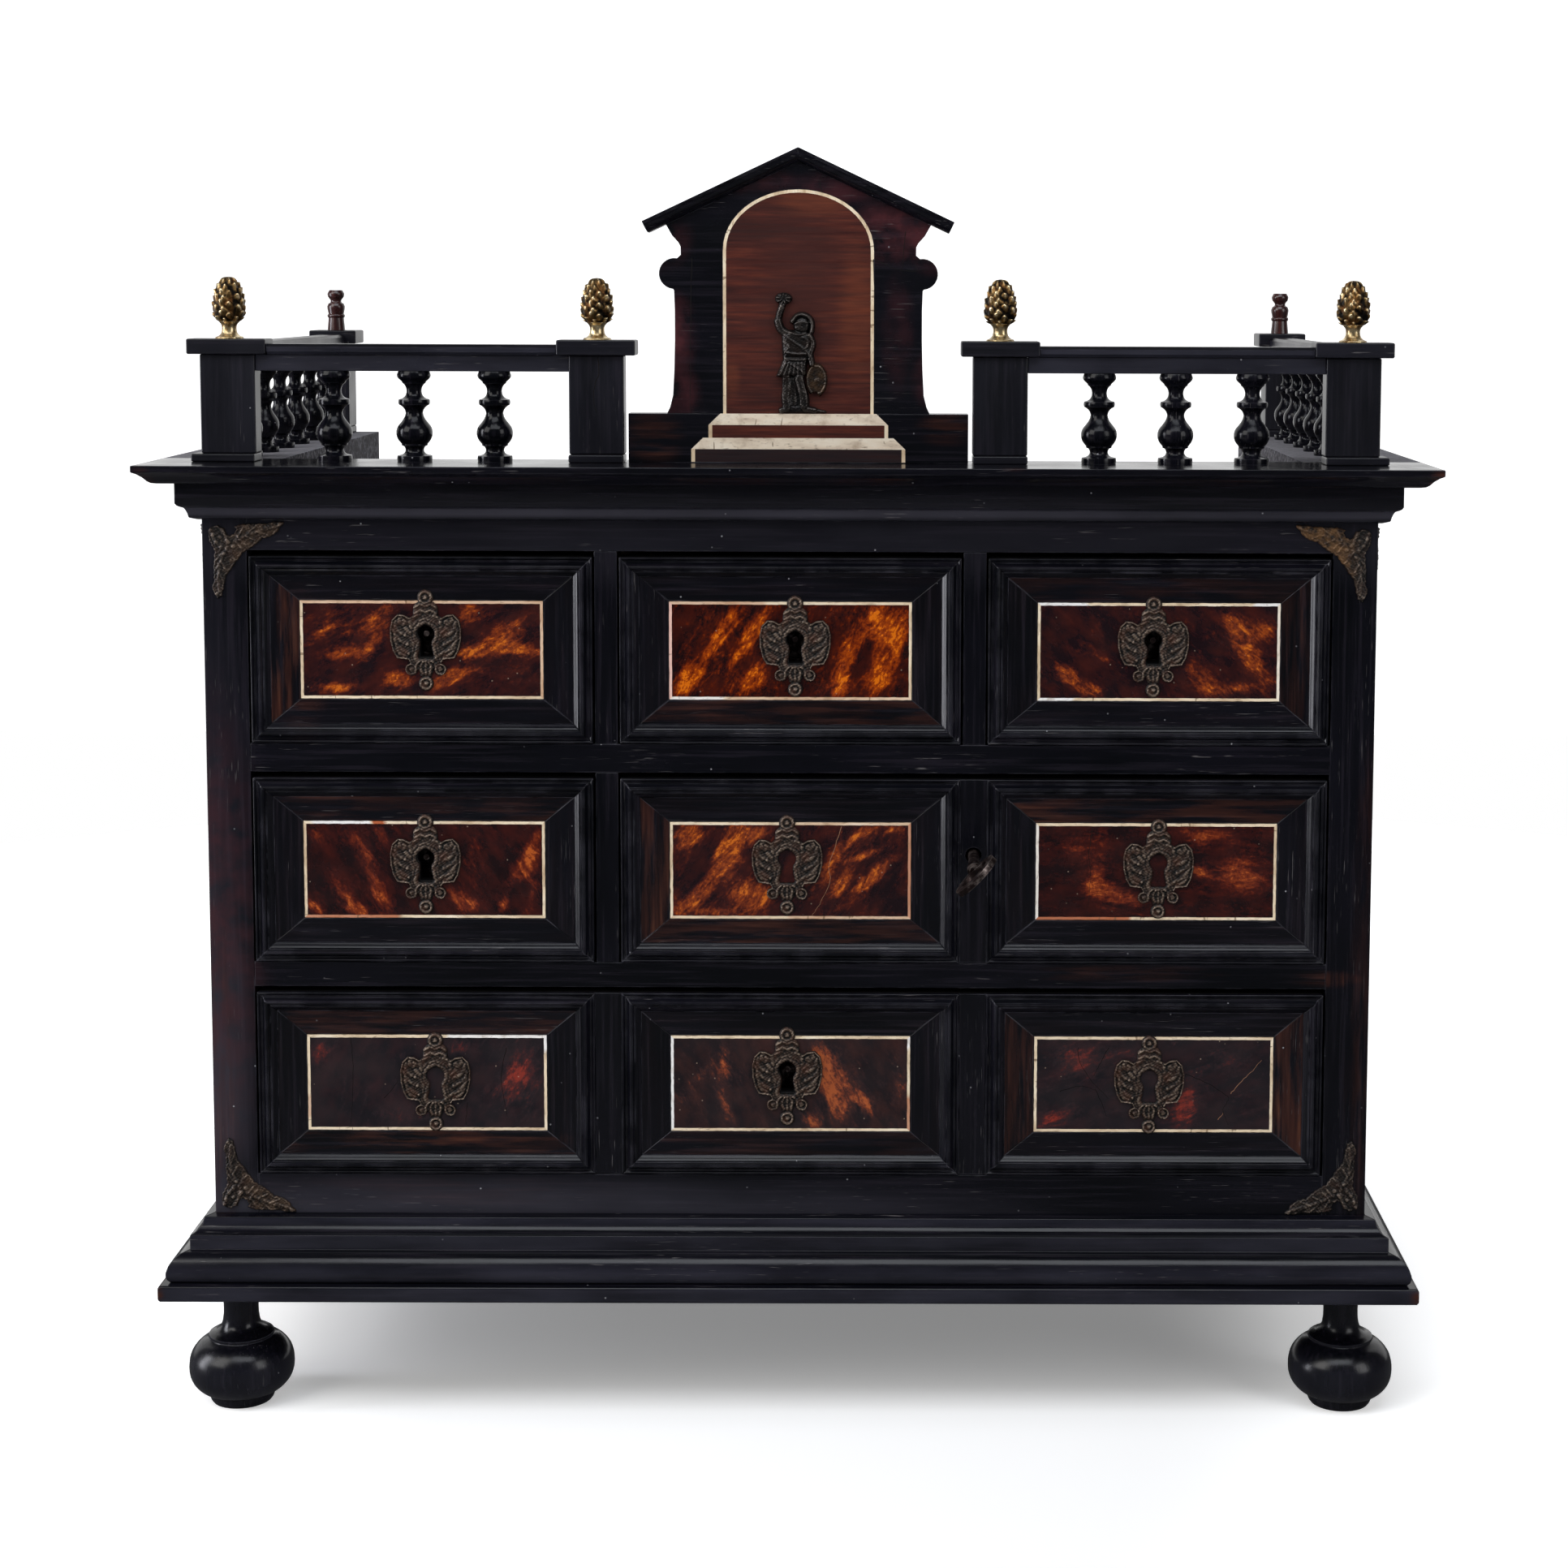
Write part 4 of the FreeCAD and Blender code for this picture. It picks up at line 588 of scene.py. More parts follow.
# Kinds of shell: gloss, veil of dullness, and colours from the darkest cloud to the brightest flame
SHELL_LOOKS = {
    "orange": (0.14, 0.0, [(0.1, 22, 6, 8), (0.34, 44, 12, 8), (0.54, 78, 22, 6), (0.74, 120, 42, 6),
                           (0.95, 160, 66, 6), (1.25, 206, 104, 12)]),
    "amber": (0.16, 0.04, [(0.1, 24, 11, 16), (0.34, 42, 16, 18), (0.54, 72, 26, 17), (0.74, 108, 43, 20),
                           (0.95, 148, 66, 20), (1.25, 190, 98, 26)]),
    "red": (0.18, 0.1, [(0.1, 24, 9, 12), (0.34, 43, 13, 13), (0.56, 68, 21, 14), (0.78, 100, 35, 16),
                        (1.0, 134, 57, 23), (1.25, 168, 80, 28)]),
    "dull": (0.34, 0.5, [(0.1, 22, 18, 24), (0.34, 36, 26, 31), (0.5, 54, 27, 30), (0.7, 84, 30, 27),
                         (0.95, 132, 42, 28)]),
    "rust": (0.3, 0.35, [(0.1, 27, 19, 23), (0.34, 43, 27, 29), (0.54, 66, 34, 28), (0.76, 112, 50, 28),
                         (1.0, 158, 78, 36)]),
}
SHELLS = {kind: tortoiseshell("tortoiseshell_" + kind, stops, gloss, veil)
          for kind, (gloss, veil, stops) in SHELL_LOOKS.items()}
CRACK = crack_filler("crack_dirt", (14, 10, 10), 0.8)
PALE_CRACK = crack_filler("pale_crack", (150, 110, 84), 0.7)


# Meshes
def set_attributes(mesh, values):
    """Stores values by name: one number or one vector for each vertex."""
    for name, rows in values.items():
        kind = "FLOAT" if np.ndim(rows[0]) == 0 else "FLOAT_VECTOR"
        layer = mesh.attributes.new(name, kind, "POINT")
        layer.data.foreach_set("value" if kind == "FLOAT" else "vector", np.asarray(rows, np.float32).ravel())


def place_piece(mesh, name, material, node):
    """Puts a mesh, already in the object's frame, in the scene in place of a node."""
    mesh.materials.clear()
    mesh.materials.append(material)
    piece = bpy.data.objects.new(name, mesh)
    COLLECTION.objects.link(piece)
    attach(piece, frame["nodes"][node]["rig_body"])
    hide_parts(node)
    return piece


def add_piece(name, points, faces, material, node, slot, **values):
    """Makes a piece from points in millimetres. Its grain runs with the object's axes where none is given."""
    points = np.array(points) * MM
    mesh = bpy.data.meshes.new(name)
    mesh.from_pydata(points.tolist(), [], faces)
    values.setdefault("grain", points)
    set_attributes(mesh, values)
    return place_piece(mesh, name, material, node)


def ring_pairs(row):
    """Each item of a closed row with the one after it."""
    return zip(row, row[1:] + row[:1])


def solids_of(mesh):
    """The mesh's triangles, solid by solid: a solid is whole when every edge has met its partner."""
    numbers = {}
    corner_of = []
    for vertex in mesh.vertices:
        key = tuple(round(c * 1e6) for c in vertex.co)
        corner_of.append(numbers.setdefault(key, len(numbers)))
    places = [tuple(c * 1e-6 for c in key) for key in numbers]
    solids, faces, open_edges = [], [], set()
    for polygon in mesh.polygons:
        ring = [corner_of[v] for v in polygon.vertices]
        if len(set(ring)) < 3:
            continue
        faces.append(ring)
        for start, end in ring_pairs(ring):
            open_edges ^= {(min(start, end), max(start, end))}
        if not open_edges:
            solids.append(faces)
            faces = []
    if faces:
        solids.append(faces)
    return places, solids


# Faces that meet at less than the first are shaded as one curve, edges sharper than the second are rounded,
# and faces within the third of one plane are joined
SMOOTH_BELOW = math.radians(32)
ROUND_ABOVE = math.radians(50)
FLAT_WITHIN = math.radians(0.6)

# The tone of a node's own surface, for materials that shade high and low places
PLAIN_RISE = 0.45


def no_brown(low, high):
    return 0.0


def dress(node, material, slot, rounding=0.0, brown=no_brown, along=None):
    """The node's own solids, welded and smoothed one by one, with rounded edges and a grain for the material.

    The grain runs along each solid's longest side, or along the first of the axes that are given."""
    places, solids = solids_of(frame["nodes"][node].data)
    made = bmesh.new()
    grain, tones = [], []
    draw = random.Random(node + "0")
    for faces in solids:
        used = sorted({corner for face in faces for corner in face})
        corners = {number: made.verts.new(places[number]) for number in used}
        for face in faces:
            made.faces.new([corners[number] for number in face])
        spots = np.array([places[number] for number in used])
        low, high = spots.min(0), spots.max(0)
        order = along or sorted(range(3), key=lambda axis: low[axis] - high[axis])
        shift = np.array([draw.uniform(0, 9) for _ in range(3)])
        grain.extend(spots[:, order] + shift)
        tones.extend([brown(low, high)] * len(used))
    rows = {"grain": grain, "brown": tones, "place": [v.co[:] for v in made.verts],
            "rise": [PLAIN_RISE] * len(grain)}
    vectors = ("grain", "place")
    layers = {}
    for name in rows:
        kinds = made.verts.layers.float_vector if name in vectors else made.verts.layers.float
        layers[name] = kinds.new(name)
    for number, vertex in enumerate(made.verts):
        for name, layer in layers.items():
            vertex[layer] = tuple(rows[name][number]) if name in vectors else rows[name][number]
    made.normal_update()
    bmesh.ops.dissolve_limit(made, angle_limit=FLAT_WITHIN, verts=made.verts, edges=made.edges)
    bmesh.ops.recalc_face_normals(made, faces=made.faces)
    for edge in made.edges:
        edge.smooth = len(edge.link_faces) == 2 and edge.calc_face_angle(math.pi) < SMOOTH_BELOW
    for face in made.faces:
        face.smooth = True
    mesh = bpy.data.meshes.new(node + "_worked")
    made.to_mesh(mesh)
    made.free()
    piece = place_piece(mesh, node + "_worked", material, node)
    if rounding:
        rounded = piece.modifiers.new("rounded_edges", "BEVEL")
        rounded.width = rounding
        rounded.segments = 2
        rounded.limit_method = "ANGLE"
        rounded.angle_limit = ROUND_ABOVE
        rounded.use_clamp_overlap = True
        rounded.harden_normals = True


# Drawing in the front plane, in millimetres: distances from shapes, and heights made from them
def line_distance(x, z, points):
    """Distance from an open line through points."""
    nearest = np.full(x.shape, 1e9)
    for (ax, az), (bx, bz) in zip(points, points[1:]):
        run_x, run_z = bx - ax, bz - az
        share = np.clip(((x - ax) * run_x + (z - az) * run_z) / (run_x ** 2 + run_z ** 2 + 1e-12), 0, 1)
        nearest = np.minimum(nearest, np.hypot(x - ax - share * run_x, z - az - share * run_z))
    return nearest


def polygon_distance(x, z, corners):
    """Distance from a closed outline, negative inside it."""
    inside = np.zeros(x.shape, bool)
    for (ax, az), (bx, bz) in ring_pairs(corners):
        if az != bz:
            inside ^= ((az > z) != (bz > z)) & (x < (bx - ax) * (z - az) / (bz - az) + ax)
    nearest = line_distance(x, z, corners + corners[:1])
    return np.where(inside, -nearest, nearest)


def disc_distance(x, z, centre_x, centre_z, radius):
    return np.hypot(x - centre_x, z - centre_z) - radius


def oval_distance(x, z, oval):
    centre_x, centre_z, reach_x, reach_z = oval
    return (np.hypot((x - centre_x) / reach_x, (z - centre_z) / reach_z) - 1) * min(reach_x, reach_z)


def mirrored(points):
    """A closed outline from its right half."""
    return points + [(-x, z) for x, z in reversed(points)]


def curved(points, steps=5):
    """A smooth line through points."""
    ends = [points[0], *points, points[-1]]
    line = []
    for before, start, end, after in zip(ends, ends[1:], ends[2:], ends[3:]):
        for step in range(steps):
            t = step / steps
            row = []
            for p, a, b, n in zip(before, start, end, after):
                row.append(0.5 * (2 * a + (b - p) * t + (2 * p - 5 * a + 4 * b - n) * t * t
                                  + (3 * a - p - 3 * b + n) * t ** 3))
            line.append(tuple(row))
    line.append(tuple(points[-1]))
    return line


def hump(distance, width):
    """A rounded ridge: 1 on its line, 0 from its width outwards."""
    return np.clip(1 - (distance / width) ** 2, 0, 1)


def ridges(x, z, lines, width):
    rise = np.zeros(x.shape)
    for points in lines:
        rise = np.maximum(rise, hump(line_distance(x, z, curved(points)), width))
    return rise


def lumps(x, z, places):
    """Round knobs, each with its centre and its reach."""
    return sum(hump(np.hypot(x - centre_x, z - centre_z), reach) for centre_x, centre_z, reach in places)


def pits(x, z, wave_x, bend_x, slow_z, wave_z, bend_z, slow_x):
    """The uneven skin of a casting."""
    return np.sin(x * wave_x + bend_x * np.sin(z * slow_z)) * np.sin(z * wave_z + bend_z * np.sin(x * slow_x))


def blurred(rise, inside, reach):
    """Mean height of the plate round each of its points."""
    total, count = np.zeros(rise.shape), np.zeros(rise.shape)
    for dz in range(-reach, reach + 1):
        for dx in range(-reach, reach + 1):
            total += np.roll(np.where(inside, rise, 0.0), (dz, dx), (0, 1))
            count += np.roll(inside, (dz, dx), (0, 1))
    return total / np.maximum(count, 1)


# Making a cast plate: how often and with what probe its rim is pulled to the outline, how low the rim lies,
# how far round a place its height is compared, and the tone of level ground and of the plate's back
RIM_PULLS = 3
PROBE = 0.05
RIM_SHARE = 0.55
COMPARED = 1.6
LEVEL_TONE = 0.42
BACK_SHARE = 0.3


def relief_mesh(name, outline, height, span_x, span_z, step, contrast):
    """A cast plate, in millimetres: its outline is where a distance turns negative, its face rises by height.

    Contrast is how strongly the high and low places differ in tone."""
    across = int(math.ceil((span_x[1] - span_x[0]) / step)) + 1
    upward = int(math.ceil((span_z[1] - span_z[0]) / step)) + 1
    x, z = np.meshgrid(span_x[0] + np.arange(across) * step, span_z[0] + np.arange(upward) * step)
    inside = (outline(x, z) < 0).astype(int)
    cell = inside[:-1, :-1] + inside[1:, :-1] + inside[:-1, 1:] + inside[1:, 1:] >= 3
    cells_round = np.zeros(x.shape, int)
    for dz, dx in ((0, 0), (1, 0), (0, 1), (1, 1)):
        cells_round[dz:dz + cell.shape[0], dx:dx + cell.shape[1]] += cell
    used = cells_round > 0
    rim = used & (cells_round < 4)
    for _ in range(RIM_PULLS):
        gap = outline(x, z)
        slope_x = (outline(x + PROBE, z) - gap) / PROBE
        slope_z = (outline(x, z + PROBE) - gap) / PROBE
        steep = np.maximum(slope_x ** 2 + slope_z ** 2, 0.2)
        x = np.where(rim, x - gap * slope_x / steep, x)
        z = np.where(rim, z - gap * slope_z / steep, z)
    rise = height(x, z) * np.where(rim, RIM_SHARE, 1.0)
    count = int(used.sum())
    number = np.zeros(x.shape, int)
    number[used] = np.arange(count)
    front = np.stack([x[used], -rise[used], z[used]], 1)
    points = np.concatenate([front, front * (1, 0, 1)]) * MM
    rows, columns = np.nonzero(cell)
    quads = np.stack([number[rows, columns], number[rows, columns + 1], number[rows + 1, columns + 1],
                      number[rows + 1, columns]], 1)
    faces = [tuple(quad) for quad in quads.tolist()]
    edges = dict.fromkeys(pair for quad in faces for pair in ring_pairs(quad))
    walls = [(end, start, start + count, end + count) for start, end in edges if (end, start) not in edges]
    backs = [tuple(v + count for v in reversed(quad)) for quad in faces]
    mesh = bpy.data.meshes.new(name)
    mesh.from_pydata(points.tolist(), [], faces + walls + backs)
    tone = LEVEL_TONE + contrast * (rise - blurred(rise, used, int(COMPARED / step)))
    tone = np.clip(tone, 0, 1.1)[used]
    set_attributes(mesh, {"rise": np.concatenate([tone, tone * BACK_SHARE]), "grain": points})
    mesh.shade_smooth()
    return mesh


# Escutcheons, in millimetres: the right half of the plate's edge, as shares of its half width and height
HALF_WIDTH = 19.6
TALL = 55.8
PLATE_FACE_Y = -126.5
CARTOUCHE_SHARES = [
    (0.224, 0.315), (0.337, 0.276), (0.352, 0.183), (0.439, 0.161), (0.592, 0.19), (0.776, 0.197),
    (0.939, 0.14), (1.0, 0.043), (0.99, -0.065), (0.918, -0.168), (0.806, -0.24), (0.49, -0.254),
    (0.408, -0.301), (0.224, -0.341), (0.153, -0.419),
]
TOP_LOBE = (0.0, 0.358 * TALL, 4.5)
RING = (0.0, -0.487 * TALL, 4.1)
LOW_LOBE = (0.403 * HALF_WIDTH, -0.348 * TALL, 3.4)

# The keyhole: round above, and a slot under it that is waisted and wider again at its foot
BOW_RADIUS = 4.75
SLOT_SIDE = [(3.9, -1.6), (3.1, -4.4), (3.0, -6.2), (3.5, -9.0), (4.35, -12.6), (3.6, -13.3)]

# Lines of the cast relief. The wings and the foot are drawn for the right half, the head whole
WING_SCROLL = [
    (8.4, 3.6), (8.7, 7.4), (10.9, 10.0), (13.8, 9.2), (14.6, 6.8), (12.9, 5.2), (11.1, 6.2), (11.6, 7.8),
]
WING_LEAVES = [
    [(16.9, 6.6), (16.0, 3.2), (13.8, 0.9), (11.0, -0.4)],
    [(17.4, 1.8), (16.2, -1.6), (13.8, -3.9), (10.4, -5.4)],
    [(17.2, -3.0), (15.6, -6.2), (12.8, -8.7), (9.0, -10.2)], [(16.0, -8.2), (13.8, -10.9), (10.6, -12.9)],
    [(10.9, 3.0), (9.0, 1.0)],
]
WING_CURLS = [(10.8, -0.9, 1.2), (10.2, -6.0, 1.1), (8.8, -10.8, 1.0), (12.4, 7.0, 0.9)]
HEAD_BANDS = [
    [(-6.0, 14.6), (-3.0, 16.2), (0.0, 15.4), (3.0, 16.2), (6.0, 14.6)],
    [(-5.8, 11.2), (-2.6, 13.0), (0.0, 12.0), (2.6, 13.0), (5.8, 11.2)], [(-6.6, 9.2), (-4.4, 10.2)],
    [(4.4, 10.2), (6.6, 9.2)],
]
FOOT_FAN = [
    [(0.0, -15.6), (0.0, -19.0), (0.0, -22.4)], [(1.6, -15.4), (2.8, -18.4), (2.0, -21.6)],
    [(3.4, -15.0), (5.2, -17.0), (5.6, -19.6)],
]
PLATE_STEP = 0.32
PLATE_LIMITS = (0.5, 2.38)


def keyhole_distance(x, z):
    return np.minimum(disc_distance(x, z, 0.0, 0.0, BOW_RADIUS), polygon_distance(x, z, mirrored(SLOT_SIDE)))


def escutcheon_outline(x, z):
    plate = polygon_distance(x, z, mirrored([(HALF_WIDTH * a, TALL * b) for a, b in CARTOUCHE_SHARES]))
    for lobe in (TOP_LOBE, RING, LOW_LOBE):
        plate = np.minimum(plate, disc_distance(np.abs(x), z, *lobe))
    return np.maximum(plate, -keyhole_distance(x, z))


def escutcheon_height(x, z):
    """A raised rim round plate and hole, leafed wings, a banded head, a fanned foot and two nail rings."""
    side = np.abs(x)
    edge = -escutcheon_outline(x, z)
    hole = keyhole_distance(x, z)
    wing = side > 8
    rise = 0.7 + 0.3 * np.clip(edge / 1.6, 0, 1)
    rise += 0.5 * hump(hole - 1.3, 1.3) + 0.3 * hump(hole - 3.3, 0.7) * (z > -12)
    rise += 0.9 * hump(edge - 0.45, 0.45) * wing - 0.35 * hump(edge - 1.5, 0.7) * wing
    bent = side + 0.35 * np.sin(0.6 * z + 0.25 * x + 1.0)
    rise += 0.5 * ridges(bent, z, [WING_SCROLL] + WING_LEAVES, 1.15) + 0.45 * lumps(bent, z, WING_CURLS)
    rise += 0.7 * ridges(x, z, HEAD_BANDS, 0.8)
    for centre_z, ring in ((TOP_LOBE[1], 3.2), (RING[1], 2.9)):
        off = np.hypot(x, z - centre_z)
        rise += 0.6 * hump(off - ring, 0.8) + 0.6 * hump(off, 1.2) - 0.3 * hump(off - 1.9, 0.6)
    off = np.hypot(side - LOW_LOBE[0], z - LOW_LOBE[1])
    rise += 0.5 * hump(off, 1.4) + 0.5 * hump(off - 2.6, 0.6) + 0.55 * ridges(side, z, FOOT_FAN, 0.7)
    return np.clip(rise + 0.26 * pits(x, z, 2.3, 1.7, 1.1, 2.9, 1.3, 0.9), *PLATE_LIMITS)


def add_escutcheons():
    shared = relief_mesh("escutcheon_cast", escutcheon_outline, escutcheon_height, (-HALF_WIDTH, HALF_WIDTH),
                         (RING[1] - RING[2], TOP_LOBE[1] + TOP_LOBE[2]), PLATE_STEP, 0.98)
    shared.materials.append(DARK_BRONZE)
    for number, panel in enumerate(PANELS):
        x, z = panel["keyhole"]
        piece = bpy.data.objects.new("escutcheon_cast_" + str(number + 1), shared)
        COLLECTION.objects.link(piece)
        piece.location = (x * MM, PLATE_FACE_Y * MM, z * MM)
        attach(piece, panel["drawer"])
        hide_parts(panel["drawer"] + "_escutcheon")


# Corner mounts, in millimetres from the corner along each arm
MOUNT_REACH = 45.1
MOUNT_RISE = 43.0
MOUNT_SHARES = [
    (0.186, 1.0), (0.235, 0.963), (0.262, 0.842), (0.286, 0.716), (0.359, 0.621), (0.426, 0.516),
    (0.488, 0.426), (0.596, 0.363), (0.678, 0.288), (0.727, 0.237), (0.838, 0.216), (0.909, 0.158),
    (0.949, 0.091), (1.0, 0.06), (0.989, 0.028), (0.887, 0.023), (0.798, 0.047), (0.678, 0.049),
    (0.497, 0.056), (0.404, 0.088), (0.421, 0.13), (0.39, 0.186), (0.337, 0.209), (0.293, 0.177),
    (0.275, 0.114), (0.182, 0.07), (0.106, 0.093), (0.08, 0.158), (0.091, 0.263), (0.155, 0.4),
    (0.146, 0.516), (0.135, 0.642), (0.146, 0.77), (0.115, 0.853), (0.133, 0.916), (0.155, 0.967),
]
MOUNT_SPINES = [
    [(9.5, 39.0), (9.0, 30.0), (10.5, 22.0), (14.0, 15.0)],
    [(42.0, 3.4), (34.0, 5.6), (25.0, 8.4), (18.0, 12.0)], [(5.5, 5.5), (6.5, 10.0), (10.5, 14.5)],
    [(10.5, 4.0), (12.5, 8.5), (15.0, 12.5)],
]
MOUNT_VEINS = [
    [(7.6, 34.0), (9.2, 30.0)], [(11.0, 33.0), (9.4, 29.0)], [(7.4, 28.0), (9.4, 24.0)],
    [(12.6, 27.0), (10.4, 22.5)], [(8.0, 22.0), (11.0, 18.5)], [(16.0, 20.0), (13.5, 16.0)],
    [(37.0, 3.2), (33.0, 5.2)], [(36.0, 8.4), (31.0, 6.6)], [(30.0, 3.4), (26.0, 7.0)],
    [(29.0, 11.0), (24.5, 9.2)], [(23.0, 4.2), (20.0, 9.6)], [(21.5, 15.5), (19.0, 12.4)],
    [(18.0, 22.0), (15.0, 18.0)], [(24.0, 13.6), (21.0, 11.0)],
]
MOUNT_LUMPS = [
    (8.0, 12.5, 1.6), (11.0, 15.5, 1.5), (14.2, 12.0, 1.9), (17.4, 14.6, 1.5), (12.4, 18.6, 1.4),
    (6.6, 8.4, 1.4), (19.8, 9.0, 1.4), (15.6, 17.6, 1.2), (10.2, 9.4, 1.3), (4.9, 5.6, 1.3),
]
MOUNT_NAILS = [(8.2, 40.6, 1.2), (42.6, 2.4, 1.2)]
MOUNT_STEP = 0.33

# Where they sit: the body's half width, the mounts' back, and the heights of the lower and the upper corners
BODY_HALF = 320.0
MOUNT_BACK_Y = -127.5
MOUNT_LEVELS = {"low": 110.3, "high": 498.0}
SIDE_MOUNT_SCALE = 0.62

# How golden the arms of each are: nothing up to this far from the corner, all of it at twice that
MOUNT_WARMTH = {"left_low": 0.2, "left_high": 0.2, "right_low": 0.0, "right_high": 0.9}
SIDE_MOUNT_WARMTH = 0.2
WARM_FROM = 10.0


def mount_outline(x, z):
    """The leaf's edge, a little ragged as it came from the mould."""
    gap = polygon_distance(x, z, [(MOUNT_REACH * a, MOUNT_RISE * b) for a, b in MOUNT_SHARES])
    return gap + 0.3 * np.sin(1.7 * x + 0.6 * z) * np.sin(1.5 * z - 0.5 * x + 1.0)


def mount_height(x, z):
    """Veined leaf arms that meet in a knob of small lumps, with a nail near the end of each arm."""
    edge = -mount_outline(x, z)
    rise = 0.7 + 0.4 * np.clip(edge / 2.0, 0, 1) + 0.45 * hump(edge - 0.55, 0.5)
    rise += 0.6 * ridges(x, z, MOUNT_SPINES, 1.1) + 0.5 * ridges(x, z, MOUNT_VEINS, 0.65)
    rise += 0.7 * lumps(x, z, MOUNT_LUMPS) + 0.7 * lumps(x, z, MOUNT_NAILS)
    return np.clip(rise + 0.22 * pits(x, z, 2.7, 1.5, 1.3, 3.1, 1.4, 1.1), *PLATE_LIMITS)


def add_mount(shared, name, corner, turn, warmth):
    """A mirrored copy keeps its faces outwards because the mesh is turned over with it."""
    mesh = shared.copy()
    mesh.name = name
    shares = [(vertex.co.x / MM - WARM_FROM) / WARM_FROM for vertex in mesh.vertices]
    set_attributes(mesh, {"warm": [warmth * min(1.0, max(0.0, share)) for share in shares]})
    mesh.transform(Matrix.Translation(Vector(corner) * MM) @ turn)
    if turn.determinant() < 0:
        mesh.flip_normals()
    place_piece(mesh, name, MOUNT_BRONZE, "corner_mounts")


def add_corner_mounts():
    """Four on the front, and a smaller one turned round each upper corner onto the side."""
    shared = relief_mesh("corner_mount_cast", mount_outline, mount_height, (3.0, 45.5), (0.5, 43.5),
                         MOUNT_STEP, 0.8)
    small = Matrix.Diagonal((SIDE_MOUNT_SCALE, SIDE_MOUNT_SCALE, SIDE_MOUNT_SCALE, 1))
    for side, hand in ((-1, "left"), (1, "right")):
        for level, rise in (("low", 1), ("high", -1)):
            corner = (side * BODY_HALF, MOUNT_BACK_Y, MOUNT_LEVELS[level])
            key = hand + "_" + level
            turn = Matrix.Diagonal((-side, 1, rise, 1))
            add_mount(shared, "corner_mount_" + key, corner, turn, MOUNT_WARMTH[key])
        turn = Matrix(((0, -side, 0, 0), (1, 0, 0, 0), (0, 0, -1, 0), (0, 0, 0, 1)))
        add_mount(shared, "corner_mount_side_" + hand, corner, turn @ small, SIDE_MOUNT_WARMTH)


# Relief figure in the niche, in millimetres from its foot: a generic warrior with helmet, shield and wreath
FIGURE_FOOT = (4.0, -116.5, 556.0)
FIGURE_BASE = [(-10.4, 0.6), (15.8, 0.6), (14.6, 1.9), (10.8, 2.8), (6.4, 4.4), (-4.6, 4.8), (-8.8, 2.8)]
FIGURE_SKIRT = [
    (-12.2, 20.6), (-8.6, 19.6), (-4.2, 20.4), (0.4, 20.0), (4.0, 21.0), (4.8, 26.0), (5.4, 31.6),
    (-7.8, 32.0), (-9.6, 26.4),
]
FIGURE_DRAPE = [(-5.4, 21.0), (2.0, 21.0), (4.0, 3.4), (-5.6, 3.4)]
FIGURE_TORSO = [
    (-8.4, 29.8), (5.8, 29.6), (7.6, 33.4), (7.8, 38.6), (7.2, 42.4), (4.2, 45.6), (-4.6, 45.8),
    (-9.2, 44.4), (-9.0, 36.6),
]
SHIELD = (9.9, 18.4, 6.0, 9.2)
SHIELD_BITE = (8.9, 9.6, 2.2)
WREATH = (-8.0, 62.6, 4.7, 3.3)
HEAD = (2.0, 48.4, 4.9, 5.0)
CREST = [(-3.2, 50.4), (-0.6, 53.4), (3.0, 53.9), (6.4, 51.8), (7.6, 48.2), (7.2, 44.8)]
BRIM = [(-3.4, 48.4), (0.6, 49.8), (6.6, 49.4)]
STRAPS = [
    [(-7.6, 43.0), (-3.0, 39.4), (3.0, 35.4), (6.4, 31.4)], [(-8.0, 34.0), (-2.0, 32.6), (5.6, 32.8)],
    [(-8.6, 30.4), (-2.0, 29.4), (5.4, 29.8)], [(-8.6, 39.6), (-5.4, 36.4), (-7.6, 33.0)],
    [(-4.8, 44.6), (0.2, 43.0), (4.4, 44.2)], [(2.6, 41.6), (5.2, 39.8), (5.0, 36.4), (2.8, 35.2)],
    [(-7.8, 31.0), (-3.6, 27.0), (1.4, 23.6), (4.2, 21.6)],
]
DRAPERY = [
    [(-4.0, 5.0), (-4.2, 12.0), (-3.8, 19.0)], [(-8.0, 6.0), (-8.4, 12.0), (-8.0, 19.0)],
    [(4.8, 6.0), (4.4, 11.0), (2.4, 19.0)], [(1.4, 5.0), (0.8, 11.0), (-1.2, 19.0)],
    [(-1.6, 5.0), (-1.6, 12.0), (-2.6, 19.0)],
]
PLEATS = [[(x, 20.2), (x * 0.66, 27.6)] for x in (-10.4, -7.8, -5.2, -2.6, 0.0, 2.6)]
FIGURE_LIMITS = (0.4, 4.6)
FIGURE_STEP = 0.3
SHIELD_WARMTH = 0.28

# Limbs and the helmet's crest: a line, its radius, how far it stands out and how softly it rounds
LIMBS = [
    ([(-6.2, 4.4), (-6.8, 9.0), (-6.2, 14.0), (-6.4, 20.0)], 2.6, 3.0, 2.3),
    ([(3.2, 4.4), (3.2, 9.0), (1.4, 14.0), (0.4, 20.0)], 2.8, 3.3, 2.4),
    ([(-9.2, 2.0), (-5.6, 3.0)], 1.7, 2.8, 1.5),
    ([(3.4, 2.9), (8.8, 2.0)], 1.7, 2.8, 1.5),
    ([(-6.6, 43.8), (-9.6, 46.2), (-11.0, 50.4)], 2.4, 3.4, 1.9),
    ([(-11.0, 50.4), (-10.0, 55.0), (-8.2, 60.4)], 2.0, 3.1, 1.8),
    ([(6.0, 42.6), (8.0, 38.0), (6.6, 33.0), (7.4, 27.4)], 1.9, 4.3, 1.8),
    (CREST, 1.6, 4.2, 1.5),
]


